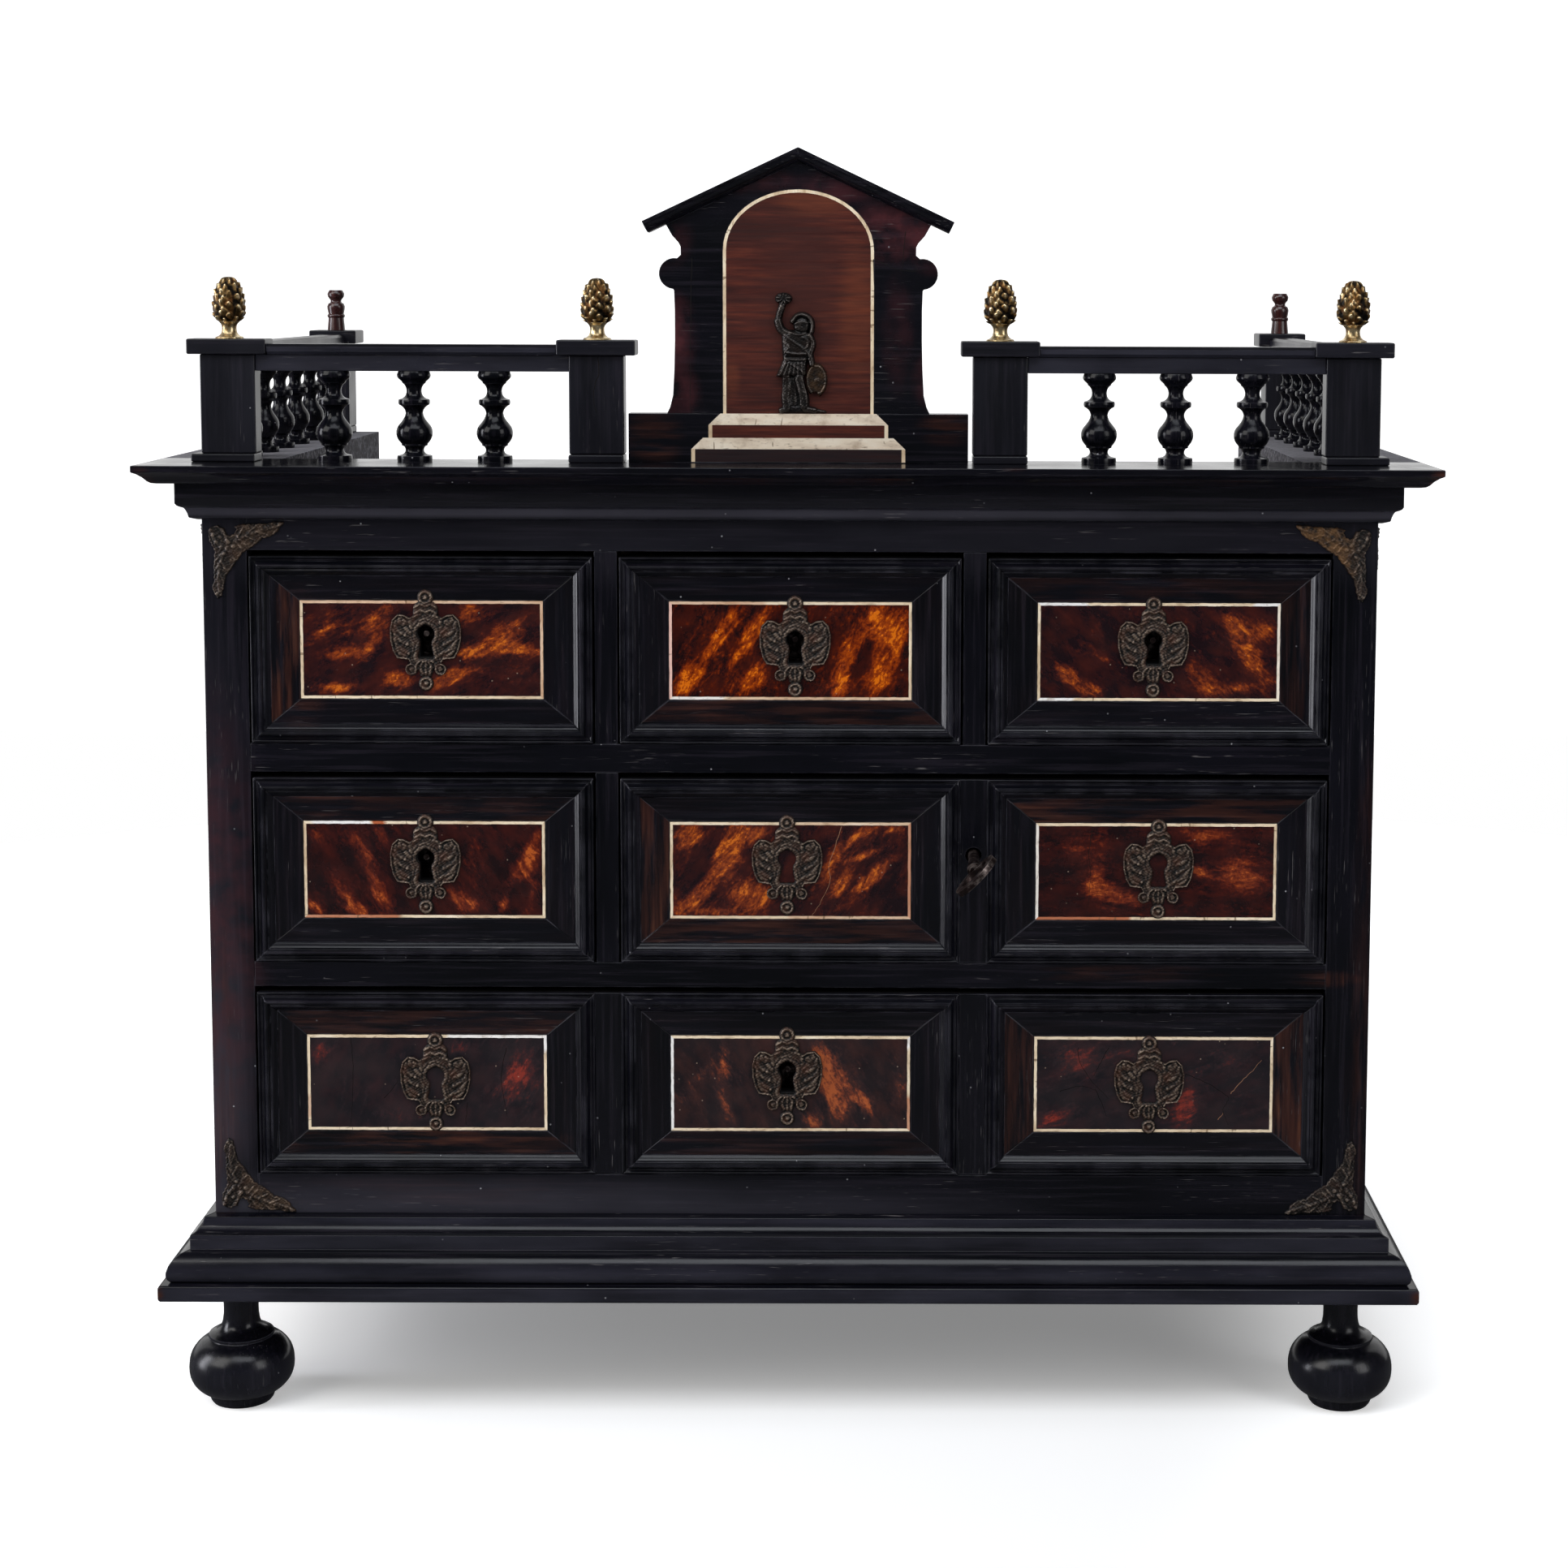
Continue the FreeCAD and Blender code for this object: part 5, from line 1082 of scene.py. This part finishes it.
def figure_parts(x, z):
    """Distance from each part, how far it stands out and how softly it rounds: the outline is their union."""
    parts = [
        (polygon_distance(x, z, FIGURE_BASE), 1.7, 1.6), (polygon_distance(x, z, FIGURE_DRAPE), 1.3, 1.4),
        (polygon_distance(x, z, FIGURE_SKIRT), 3.4, 2.2), (polygon_distance(x, z, FIGURE_TORSO), 3.9, 3.6),
        (oval_distance(x, z, HEAD), 4.3, 3.2), (oval_distance(x, z, WREATH), 2.6, 1.8),
        (oval_distance(x, z, SHIELD), 2.4, 1.5),
    ]
    for line, radius, stand, soft in LIMBS:
        parts.append((line_distance(x, z, curved(line, 4)) - radius, stand, soft))
    return parts


def figure_outline(x, z):
    joined = np.minimum.reduce([gap for gap, _, _ in figure_parts(x, z)])
    return np.maximum(joined, -disc_distance(x, z, *SHIELD_BITE))


def figure_height(x, z):
    """Rounded parts, overlaid with straps, pleats, a laurel wreath and a small plain face."""
    rise = np.zeros(x.shape)
    for gap, stand, soft in figure_parts(x, z):
        depth = np.clip(-gap / soft, 0, 1)
        rise = np.maximum(rise, stand * np.sqrt(1 - (1 - depth) ** 2) * 0.95 + 0.2 * (gap < 0))
    rise += 0.6 * ridges(x, z, STRAPS, 0.7)
    rise += 0.6 * ridges(x, z, PLEATS, 0.55) + 0.55 * ridges(x, z, DRAPERY, 0.6)
    rise += 0.5 * hump(oval_distance(x, z, SHIELD) + 0.9, 0.6)
    rise += 0.5 * hump(np.hypot(x - SHIELD[0], z - SHIELD[1]), 1.6)
    rise += 0.6 * ridges(x, z, [BRIM, CREST], 0.7)
    nose = hump(np.hypot((x - 0.8) * 2.0, z - 46.6), 1.0)
    eyes = hump(np.hypot(x + 0.6, (z - 47.6) * 1.6), 0.6) + hump(np.hypot(x - 2.3, (z - 47.6) * 1.6), 0.6)
    mouth = hump(np.hypot((x - 0.8) * 0.5, z - 45.2), 0.4)
    rise += 0.35 * nose - 0.3 * eyes - 0.25 * mouth
    petals = np.sin(np.arctan2(z - WREATH[1], x - WREATH[0]) * 9)
    rise += 0.7 * petals * hump(oval_distance(x, z, WREATH) + 1.2, 1.3)
    return np.clip(rise + 0.15 * pits(x, z, 2.9, 1.4, 1.7, 3.3, 1.2, 1.3), *FIGURE_LIMITS)


def add_figure():
    mesh = relief_mesh("niche_figure_cast", figure_outline, figure_height, (-13.0, 18.0), (0.5, 66.0),
                       FIGURE_STEP, 0.66)
    held = [oval_distance(v.co.x / MM, v.co.z / MM, SHIELD) < 0 for v in mesh.vertices]
    set_attributes(mesh, {"warm": [SHIELD_WARMTH if part else 0.0 for part in held]})
    mesh.transform(Matrix.Translation(Vector(FIGURE_FOOT) * MM))
    place_piece(mesh, "niche_figure_cast", FIGURE_BRONZE, "niche_figure")


# Pinecone finials, in millimetres: the outline as shares of the radius and the height, and its scales
CONE_PLACES = [(x, -110.5, 595.8) for x in (-306.9, -106.1, 114.1, 306.9)]
CONE_RADIUS = 9.2
CONE_HEIGHT = 34.0
CONE_SHARES = [
    (0.0, 0.0), (0.79, 0.0), (0.815, 0.01), (0.815, 0.021), (0.76, 0.03), (0.63, 0.044), (0.478, 0.088),
    (0.424, 0.159), (0.467, 0.224), (0.609, 0.271), (0.75, 0.306), (0.9, 0.371), (0.96, 0.471),
    (0.92, 0.618), (0.78, 0.776), (0.56, 0.9), (0.3, 0.97), (0.0, 0.99),
]
CONE_START = 0.275
CONE_ROWS = 8
CONE_COLUMNS = 8
STEM_TONE = 0.66
SCALE_DEPTH = 2.1
CONE_RINGS = 150
CONE_AROUND = 132


def scale_rise(turn, level):
    """How far a cone's scales stand out at a place: each is pointed, overlaps the row above and leans out."""
    row = (level - CONE_START) / (1 - CONE_START) * CONE_ROWS
    best = 0.0
    for above in (0, 1):
        whole = math.floor(row) - above
        column = turn * CONE_COLUMNS + 0.5 * (whole % 2)
        uneven = math.sin(12.9 * whole + 78.2 * (math.floor(column) % CONE_COLUMNS))
        along = (row - whole) / (1.75 + 0.25 * uneven)
        across = column % 1.0 - 0.5 - 0.16 * uneven + 0.12 * (along - 0.5)
        width = 0.54 * math.sqrt(max(0.0, 1 - along ** 2.4))
        if along < 1.0 and abs(across) < width:
            body = (1 - (across / width) ** 2) * (0.1 + 0.9 * along ** 1.3) * (1.0 - 0.12 * above)
            best = max(best, body + 0.2 * max(0.0, 1 - abs(across) * 9) * along)
    return best


def add_pinecone(name, x, y, z):
    line = curved(CONE_SHARES, 10)
    picks = [line[round(i * (len(line) - 1) / CONE_RINGS)] for i in range(CONE_RINGS + 1)]
    points, rises = [], []
    for radius, level in picks:
        for step in range(CONE_AROUND):
            turn = step / CONE_AROUND
            reach = radius * CONE_RADIUS
            tone = STEM_TONE
            if level >= CONE_START:
                rise = scale_rise(turn, level)
                tone = rise ** 1.3
            if level > CONE_START:
                reach = max(0.0, reach + (rise - 0.5) * SCALE_DEPTH * min(1.0, radius * 2.2))
            reach = min(reach, CONE_RADIUS)
            angle = turn * math.tau
            points.append((x + reach * math.cos(angle), y + reach * math.sin(angle), z + level * CONE_HEIGHT))
            rises.append(tone)
    faces = []
    for base in range(0, CONE_RINGS * CONE_AROUND, CONE_AROUND):
        for step in range(CONE_AROUND):
            after = (step + 1) % CONE_AROUND
            faces.append((base + step, base + after, base + CONE_AROUND + after, base + CONE_AROUND + step))
    piece = add_piece(name, points, faces, GILT, "pinecone_finials", "gilt_brass", rise=rises)
    piece.data.shade_smooth()


def add_pinecones():
    for number, place in enumerate(CONE_PLACES):
        add_pinecone("pinecone_" + str(number + 1), *place)


# Shell panels: points across and up, the flames' power, the brightest level, the edge left round a keyhole
SHELL_ACROSS = 130
SHELL_UPWARD = 52
FLAME_POWER = 1.42
BRIGHTEST = 1.02
KEYHOLE_EDGE = 1.1


def flame_level(x, z, panel):
    level = np.full(x.shape, panel["ground"])
    for centre_x, centre_z, length, width, tilt, strength in panel["flames"]:
        turn = math.radians(tilt)
        along = ((x - centre_x) * math.cos(turn) + (z - centre_z) * math.sin(turn)) / length
        across = ((z - centre_z) * math.cos(turn) - (x - centre_x) * math.sin(turn)) / width
        level = level + strength * FLAME_POWER * np.exp(-0.8 * (along ** 2 + across ** 2))
    return np.minimum(level, BRIGHTEST)


def add_shell(panel, number):
    """One panel of shell, cut away round its keyhole where the lock is real."""
    half_x, half_z = SHELL_HALF
    x, z = np.meshgrid(np.linspace(-half_x, half_x, SHELL_ACROSS), np.linspace(-half_z, half_z, SHELL_UPWARD))
    centre_x, centre_z = panel_centre(number)
    hole_x, hole_z = panel["keyhole"]
    spots = np.stack([x + centre_x, np.full(x.shape, SHELL_FACE_Y), z + centre_z], -1).reshape(-1, 3)
    gap = keyhole_distance(x + centre_x - hole_x, z + centre_z - hole_z)
    middle = (gap[:-1, :-1] + gap[1:, :-1] + gap[:-1, 1:] + gap[1:, 1:]) / 4
    kept = middle >= KEYHOLE_EDGE if number in OPEN_LOCKS else middle > -np.inf
    index = np.arange(x.size).reshape(x.shape)
    faces = [(a, a + 1, a + 1 + SHELL_ACROSS, a + SHELL_ACROSS) for a in index[:-1, :-1][kept].tolist()]
    border = [*index[0], *index[1:, -1], *index[-1, -2::-1], *index[-2:0:-1, 0]]
    behind = {int(corner): x.size + place for place, corner in enumerate(border)}
    for start, end in ring_pairs(list(behind)):
        faces.append((end, start, behind[start], behind[end]))
    points = np.concatenate([spots, spots[border] * (1, 0, 1) + (0, CORE_FACE_Y, 0)])
    levels = np.concatenate([flame_level(x, z, panel).ravel(), np.full(len(border), panel["ground"])])
    place = points * MM
    lean = math.radians(panel["lean"])
    flow = np.stack([place[:, 0] * math.cos(lean) + place[:, 2] * math.sin(lean),
                     place[:, 2] * math.cos(lean) - place[:, 0] * math.sin(lean),
                     np.full(len(place), number * 3.0)], 1)
    add_piece(panel_name(number) + "_tortoiseshell", points, faces, SHELLS[panel["shell"]],
              panel["drawer"] + "_shell", "tortoiseshell",
              amber=levels, flow=flow, grain=place + (number * 0.7, 0, 0))


# Bone lines: how far they stand proud of the shell, how evenly they are cut, and the length of one step
BONE_PROUD = 0.06
BONE_WOBBLE = 0.09
BONE_STEP = 2.5


def tone_at(panel, side, share):
    for name, start, end, tone in panel.get("tones", ()):
        if name == side and start <= share <= end:
            return tone
    return 0.0


def add_bone_lines(panel, number):
    """Four mitred strips let in flush round the shell, a little uneven as cut by hand."""
    draw = random.Random("bone" + str(number))
    centre_x, centre_z = panel_centre(number)
    half_x, half_z = BONE_HALF
    face_y = SHELL_FACE_Y - BONE_PROUD
    section = ((face_y, 0.0), (face_y, BONE_WIDTH), (CORE_FACE_Y, BONE_WIDTH), (CORE_FACE_Y, 0.0))
    points, faces, tones, grain = [], [], [], []
    for side in ("low", "right", "top", "left"):
        flat = side in ("low", "top")
        sign = -1 if side in ("low", "left") else 1
        reach, offset = (half_x, half_z) if flat else (half_z, half_x)
        steps = int(reach * 2 / BONE_STEP)
        shift = draw.uniform(0, 5)
        first = len(points)
        for step in range(steps + 1):
            share = step / steps
            wobble = draw.uniform(-BONE_WOBBLE, BONE_WOBBLE) if 0 < step < steps else 0.0
            for y, inset in section:
                along = -reach + inset + (2 * reach - 2 * inset) * share
                away = sign * (offset - inset + wobble)
                x, z = (along, away) if flat else (away, along)
                points.append((centre_x + x, y, centre_z + z))
                grain.append((along + shift * 100, away, y))
                tones.append(tone_at(panel, side, share))
            if step:
                base = len(points) - 8
                for corner, other in ring_pairs([0, 1, 2, 3]):
                    quad = (base + corner, base + other, base + 4 + other, base + 4 + corner)
                    faces.append(quad if (sign > 0) != flat else quad[::-1])
        faces.append(tuple(range(first, first + 4)))
        faces.append(tuple(range(len(points) - 1, len(points) - 5, -1)))
    add_piece(panel_name(number) + "_bone_lines", points, faces, BONE, panel["drawer"] + "_stringing", "bone",
              tone=tones, grain=np.array(grain) * MM)


# Cracks and open joints in the wood, in millimetres across and up
POST_SPLIT = [[(-105.0, 587.0), (-104.6, 578.0), (-107.0, 571.0), (-107.4, 562.0), (-106.2, 556.0)]]
PEDIMENT_JOINTS = [
    [(17.0, 676.0), (15.6, 681.0), (17.4, 685.6)], [(-68.0, 660.0), (-30.0, 678.0), (0.0, 690.5)],
    [(45.5, 640.0), (60.0, 634.0), (74.0, 634.5)], [(45.0, 640.0), (45.4, 600.0), (45.2, 557.0)],
    [(-54.0, 640.0), (-54.6, 600.0), (-55.0, 557.0)], [(62.0, 655.0), (60.5, 635.0)],
]
POST_FACE_Y = -117.5
BOARD_FACE_Y = -116.5
CRACK_PROUD = 0.03
CRACK_WANDER = 0.25


def add_hairlines(name, lines, face_y, half_width, material, node, slot):
    """Cracks and open joints, as thin wandering strips of the dirt that lies in them."""
    draw = random.Random(name)
    points, faces = [], []
    for corners in lines:
        line = curved(corners, 6)
        for number, (x, z) in enumerate(line):
            ahead = line[min(number + 1, len(line) - 1)]
            behind = line[max(number - 1, 0)]
            run = math.hypot(ahead[0] - behind[0], ahead[1] - behind[1]) or 1.0
            reach = half_width * (1 - 0.6 * number / len(line))
            side_x, side_z = -(ahead[1] - behind[1]) / run * reach, (ahead[0] - behind[0]) / run * reach
            x += draw.uniform(-CRACK_WANDER, CRACK_WANDER)
            z += draw.uniform(-CRACK_WANDER, CRACK_WANDER)
            points.append((x + side_x, face_y - CRACK_PROUD, z + side_z))
            points.append((x - side_x, face_y - CRACK_PROUD, z - side_z))
            if number:
                base = len(points) - 4
                faces.append((base, base + 1, base + 3, base + 2))
    add_piece(name, points, faces, material, node, slot)


def add_shell_cracks(panel, number, key, material):
    shift_x, shift_z = panel_centre(number)
    lines = [[(x + shift_x, z + shift_z) for x, z in corners] for corners in panel.get(key, ())]
    if lines:
        add_hairlines(panel_name(number) + "_" + key, lines, SHELL_FACE_Y, 0.17, material,
                      panel["drawer"] + "_shell", "tortoiseshell")


def add_drawer_panels():
    for number, panel in enumerate(PANELS):
        add_shell(panel, number)
        add_bone_lines(panel, number)
        add_shell_cracks(panel, number, "cracks", CRACK)
        add_shell_cracks(panel, number, "pale_cracks", PALE_CRACK)


def add_wood_cracks():
    """The split in one gallery post and the open joints of the pediment."""
    add_hairlines("post_split", POST_SPLIT, POST_FACE_Y, 0.3, CRACK, "gallery_posts", "ebonised_wood")
    add_hairlines("pediment_joints", PEDIMENT_JOINTS, BOARD_FACE_Y, 0.22, CRACK, "pediment_board",
                  "ebonised_wood")


# Heads of the nails in the back boards, in millimetres: the rings of a low dome, and where they stand
NAIL_RINGS = [(3.1, 0.0), (2.6, 0.7), (1.5, 1.2)]
NAIL_SIDES = 10
NAIL_COLUMNS = [-309, -104, 108, 311]
NAIL_ROWS = [92, 120, 166, 259, 311, 402, 450, 490]
NAIL_WANDER = 4.0


def add_back_nails():
    """Hand-forged nails in four columns over the back boards."""
    back = max(vertex.co.y for vertex in frame["nodes"]["back_panel"].data.vertices) / MM
    draw = random.Random("nails")
    points, faces = [], []
    for column in NAIL_COLUMNS:
        for row in NAIL_ROWS:
            x = column + draw.uniform(-NAIL_WANDER, NAIL_WANDER)
            z = row + draw.uniform(-NAIL_WANDER, NAIL_WANDER)
            start = len(points)
            for radius, rise in NAIL_RINGS:
                for step in range(NAIL_SIDES):
                    turn = math.tau * step / NAIL_SIDES
                    reach = radius * draw.uniform(0.9, 1.05)
                    points.append((x + reach * math.cos(turn), back + rise, z + reach * math.sin(turn)))
            firsts = range(start, len(points), NAIL_SIDES)
            rings = [list(range(first, first + NAIL_SIDES)) for first in firsts]
            for ring in rings[:-1]:
                for low, after in ring_pairs(ring):
                    faces.append((low, low + NAIL_SIDES, after + NAIL_SIDES, after))
            faces.append(rings[-1][::-1])
            faces.append(rings[0])
    add_piece("back_nails", points, faces, IRON, "back_panel", "iron", rise=[0.3] * len(points))


# A drawer front's veneer, in millimetres: within this reach of a panel's centre, thinner and shorter than
# these. A piece this near the middle, across or up, is above or beside it. Last, a side not gone brown
VENEER_REACH = (78.0, 37.0)
VENEER_THICK = 3.0
VENEER_LONG = 170.0
CENTRED = 3.0
FAINT_BROWN = 0.03


def veneer_brown(low, high):
    """How brown a piece of a drawer front is, told by where it lies round its panel."""
    centre = (low + high) / 2 / MM
    size = (high - low) / MM
    if size[1] >= VENEER_THICK or max(size[0], size[2]) >= VENEER_LONG:
        return 0.0
    for number, panel in enumerate(PANELS):
        panel_x, panel_z = panel_centre(number)
        x, z = centre[0] - panel_x, centre[2] - panel_z
        if abs(x) < VENEER_REACH[0] and abs(z) < VENEER_REACH[1]:
            if abs(x) < CENTRED and abs(z) < CENTRED:
                return 0.0
            side = ("left" if x < 0 else "right") if abs(z) < CENTRED else ("low" if z < 0 else "top")
            return panel["brown"].get(side, FAINT_BROWN)
    return 0.0


# The pieces under the niche, in metres: a tread is thinner and longer than these, the lower riser ends here
TREAD_THIN = 0.012
TREAD_LONG = 0.05
LOWER_RISER_TOP = 0.537


def tread_white(low, high):
    """The two treads under the niche are whiter than the lines."""
    return 0.25 if high[2] - low[2] < TREAD_THIN and high[0] - low[0] > TREAD_LONG else 0.0


def riser_dark(low, high):
    """The lower riser under the niche is ebonised, the upper one red-brown like the niche."""
    return 0.85 if high[2] < LOWER_RISER_TOP else 0.0


# Every other node: its material, its slot and the rounding of its edges in metres
DRESSED = [
    ("pediment_plinth", EBONY, "ebonised_wood", 0.0003),
    ("pediment_roof", EBONY, "ebonised_wood", 0.0003),
    ("carcass_sides", EBONY, "ebonised_wood", 0.0005),
    ("face_frame", EBONY_FRAME, "ebonised_wood", 0.0005),
    ("gallery_rails", EBONY_RAILS, "ebonised_wood", 0.0005),
    ("base_moulding", EBONY_BASE, "ebonised_wood", 0.0005),
    ("cornice", EBONY_CORNICE, "ebonised_wood", 0.0005),
    ("gallery_posts", EBONY_POSTS, "ebonised_wood", 0.0009),
    ("plinth_board", EBONY_BASE, "ebonised_wood", 0.0009),
    ("pediment_board", EBONY_PEDIMENT, "ebonised_wood", 0.0003),
    ("gallery_balusters", EBONY_TURNED, "ebonised_wood"),
    ("bun_feet", EBONY_FEET, "ebonised_wood"),
    ("bottom_board", CARCASS, "carcass_wood", 0.0004),
    ("dust_boards", CARCASS, "carcass_wood", 0.0004),
    ("back_panel", BACK, "carcass_wood", 0.0004),
    ("top_board", TRAY, "carcass_wood", 0.0004),
    ("niche_panel", NICHE_WOOD, "niche_wood"),
    ("niche_inlay", BONE, "bone"),
    ("turned_finials", FINIAL_WOOD, "red_brown_wood"),
    ("key", IRON, "iron"),
    ("lock_bolt", IRON, "iron", 0.0002),
]

# The order of axes for the grain of turned pieces and of the niche, and the pieces with a tone of their own
UPRIGHT = [2, 0, 1]
GRAINS = {"gallery_balusters": UPRIGHT, "bun_feet": UPRIGHT, "turned_finials": UPRIGHT,
          "niche_panel": [0, 2, 1]}
BROWNS = {"niche_panel": riser_dark, "niche_inlay": tread_white}
DRAWERS = ["drawer_top_left", "drawer_top_centre", "drawer_top_right", "drawer_middle_left",
           "drawer_middle_double", "drawer_bottom"]


def dress_carcass():
    for node, *rest in DRESSED:
        dress(node, *rest, brown=BROWNS.get(node, no_brown), along=GRAINS.get(node))


def dress_drawers():
    for drawer in DRAWERS:
        dress(drawer + "_facing", EBONY, "ebonised_wood", 0.0005, brown=veneer_brown)
        dress(drawer + "_box", DRAWER_WOOD, "drawer_wood", 0.0004)
        dress(drawer + "_lock", IRON, "iron", 0.0002)


# Floor and backdrop, in metres. The floor turns white between two distances, and faster sideways
FLOOR_RADIUS = 1.7
FLOOR_SIDES = 96
WHITE_FROM, WHITE_AT = 0.45, 1.2
SIDEWAYS = 2.2
BACKDROP_Y = 2.2
BACKDROP_REACH = 4

# How dark polished faces see the stage
MIRRORED_SHADE = 0.9


def stage_material(name, brightness, glow_near, glow_far, glow_mirrored):
    """Plain under the light, and white to the camera and to reflections away from the object's shadow."""
    f = Finish(name, Roughness=0.9, Specular_IOR_Level=0.0)
    place = f.vector("MULTIPLY", f.node("NewGeometry").outputs["Position"], (SIDEWAYS, 1.0, 1.0))
    away = f.vector("LENGTH", place, result="Value")
    glow = f.remap(away, WHITE_FROM, WHITE_AT, glow_near, glow_far, smooth=True)
    path = f.node("LightPath").outputs
    shade = f.times(path["Is Glossy Ray"], MIRRORED_SHADE)
    f.colour = f.blend(shade, (brightness, brightness, brightness), (0.0, 0.0, 0.0))
    mirrored_ray = f.math("MAXIMUM", path["Is Glossy Ray"], path["Is Transmission Ray"])
    seen = f.times(glow, path["Is Camera Ray"])
    strength = f.math("MULTIPLY_ADD", mirrored_ray, glow_mirrored, seen)
    shine = f.node("Emission", Color=(1, 1, 1, 1), Strength=strength)
    total = f.node("AddShader", i0=f.shader.outputs[0], i1=shine.outputs[0])
    f.tree.links.new(total.outputs[0], f.tree.nodes["Material Output"].inputs["Surface"])
    return f.out()


def add_stage_piece(name, corners, material):
    mesh = bpy.data.meshes.new(name)
    mesh.from_pydata(corners, [], [tuple(range(len(corners)))])
    mesh.materials.append(material)
    piece = bpy.data.objects.new(name, mesh)
    COLLECTION.objects.link(piece)


def add_stage():
    turns = [math.tau * step / FLOOR_SIDES for step in range(FLOOR_SIDES)]
    ring = [(FLOOR_RADIUS * math.cos(turn), FLOOR_RADIUS * math.sin(turn), 0) for turn in turns]
    add_stage_piece("floor", ring, stage_material("floor_white", 0.97, 0.21, 1.0, 0.04))
    reach = BACKDROP_REACH
    wall = [(-reach, BACKDROP_Y, 0), (reach, BACKDROP_Y, 0), (reach, BACKDROP_Y, reach),
            (-reach, BACKDROP_Y, reach)]
    add_stage_piece("backdrop", wall, stage_material("backdrop_white", 0.5, 1.0, 1.0, 1.0))


# Lights: place, the point they face, width and height in metres, watts, colour
LIGHTS = {
    "key_light": ((-1.8, -1.5, 1.8), (0, 0, 0.3), (1.5, 1.8), 37, (1.0, 0.985, 0.95)),
    "fill_light": ((1.9, -1.6, 1.2), (0, 0, 0.35), (1.0, 1.6), 17, (1.0, 1.0, 1.0)),
    "top_light": ((0.1, -1.2, 2.2), (0, 0, 0.3), (1.8, 1.0), 21, (0.9, 0.94, 1.0)),
    "side_light": ((-1.9, -0.3, 0.5), (0, -0.13, 0.3), (0.5, 1.5), 26, (0.92, 0.93, 1.0)),
}
SURROUNDINGS = (0.07, 0.07, 0.075, 1)


def add_lights():
    for name, (place, target, size, power, colour) in LIGHTS.items():
        data = bpy.data.lights.new(name, "AREA")
        data.color = colour
        data.shape = "RECTANGLE"
        data.size, data.size_y = size
        data.energy = power
        light = bpy.data.objects.new(name, data)
        COLLECTION.objects.link(light)
        light.location = place
        light.rotation_euler = (Vector(target) - Vector(place)).to_track_quat("-Z", "Y").to_euler()


def add_world():
    """Dim surroundings that the camera sees as white."""
    world = bpy.data.worlds.new("world")
    bpy.context.scene.world = world
    world.use_nodes = True
    tree = world.node_tree
    soft = tree.nodes["Background"]
    soft.inputs["Color"].default_value = SURROUNDINGS
    white = add_node(tree, "Background", Color=(1, 1, 1, 1), Strength=1.0)
    seen = add_node(tree, "LightPath").outputs["Is Camera Ray"]
    mixed = add_node(tree, "MixShader", i0=seen, i1=soft.outputs[0], i2=white.outputs[0])
    tree.links.new(mixed.outputs[0], tree.nodes["World Output"].inputs["Surface"])


bpy.context.scene.view_settings.view_transform = "Standard"
add_camera()
dress_carcass()
dress_drawers()
add_drawer_panels()
add_escutcheons()
add_corner_mounts()
add_figure()
add_pinecones()
add_wood_cracks()
add_back_nails()
add_stage()
add_world()
add_lights()
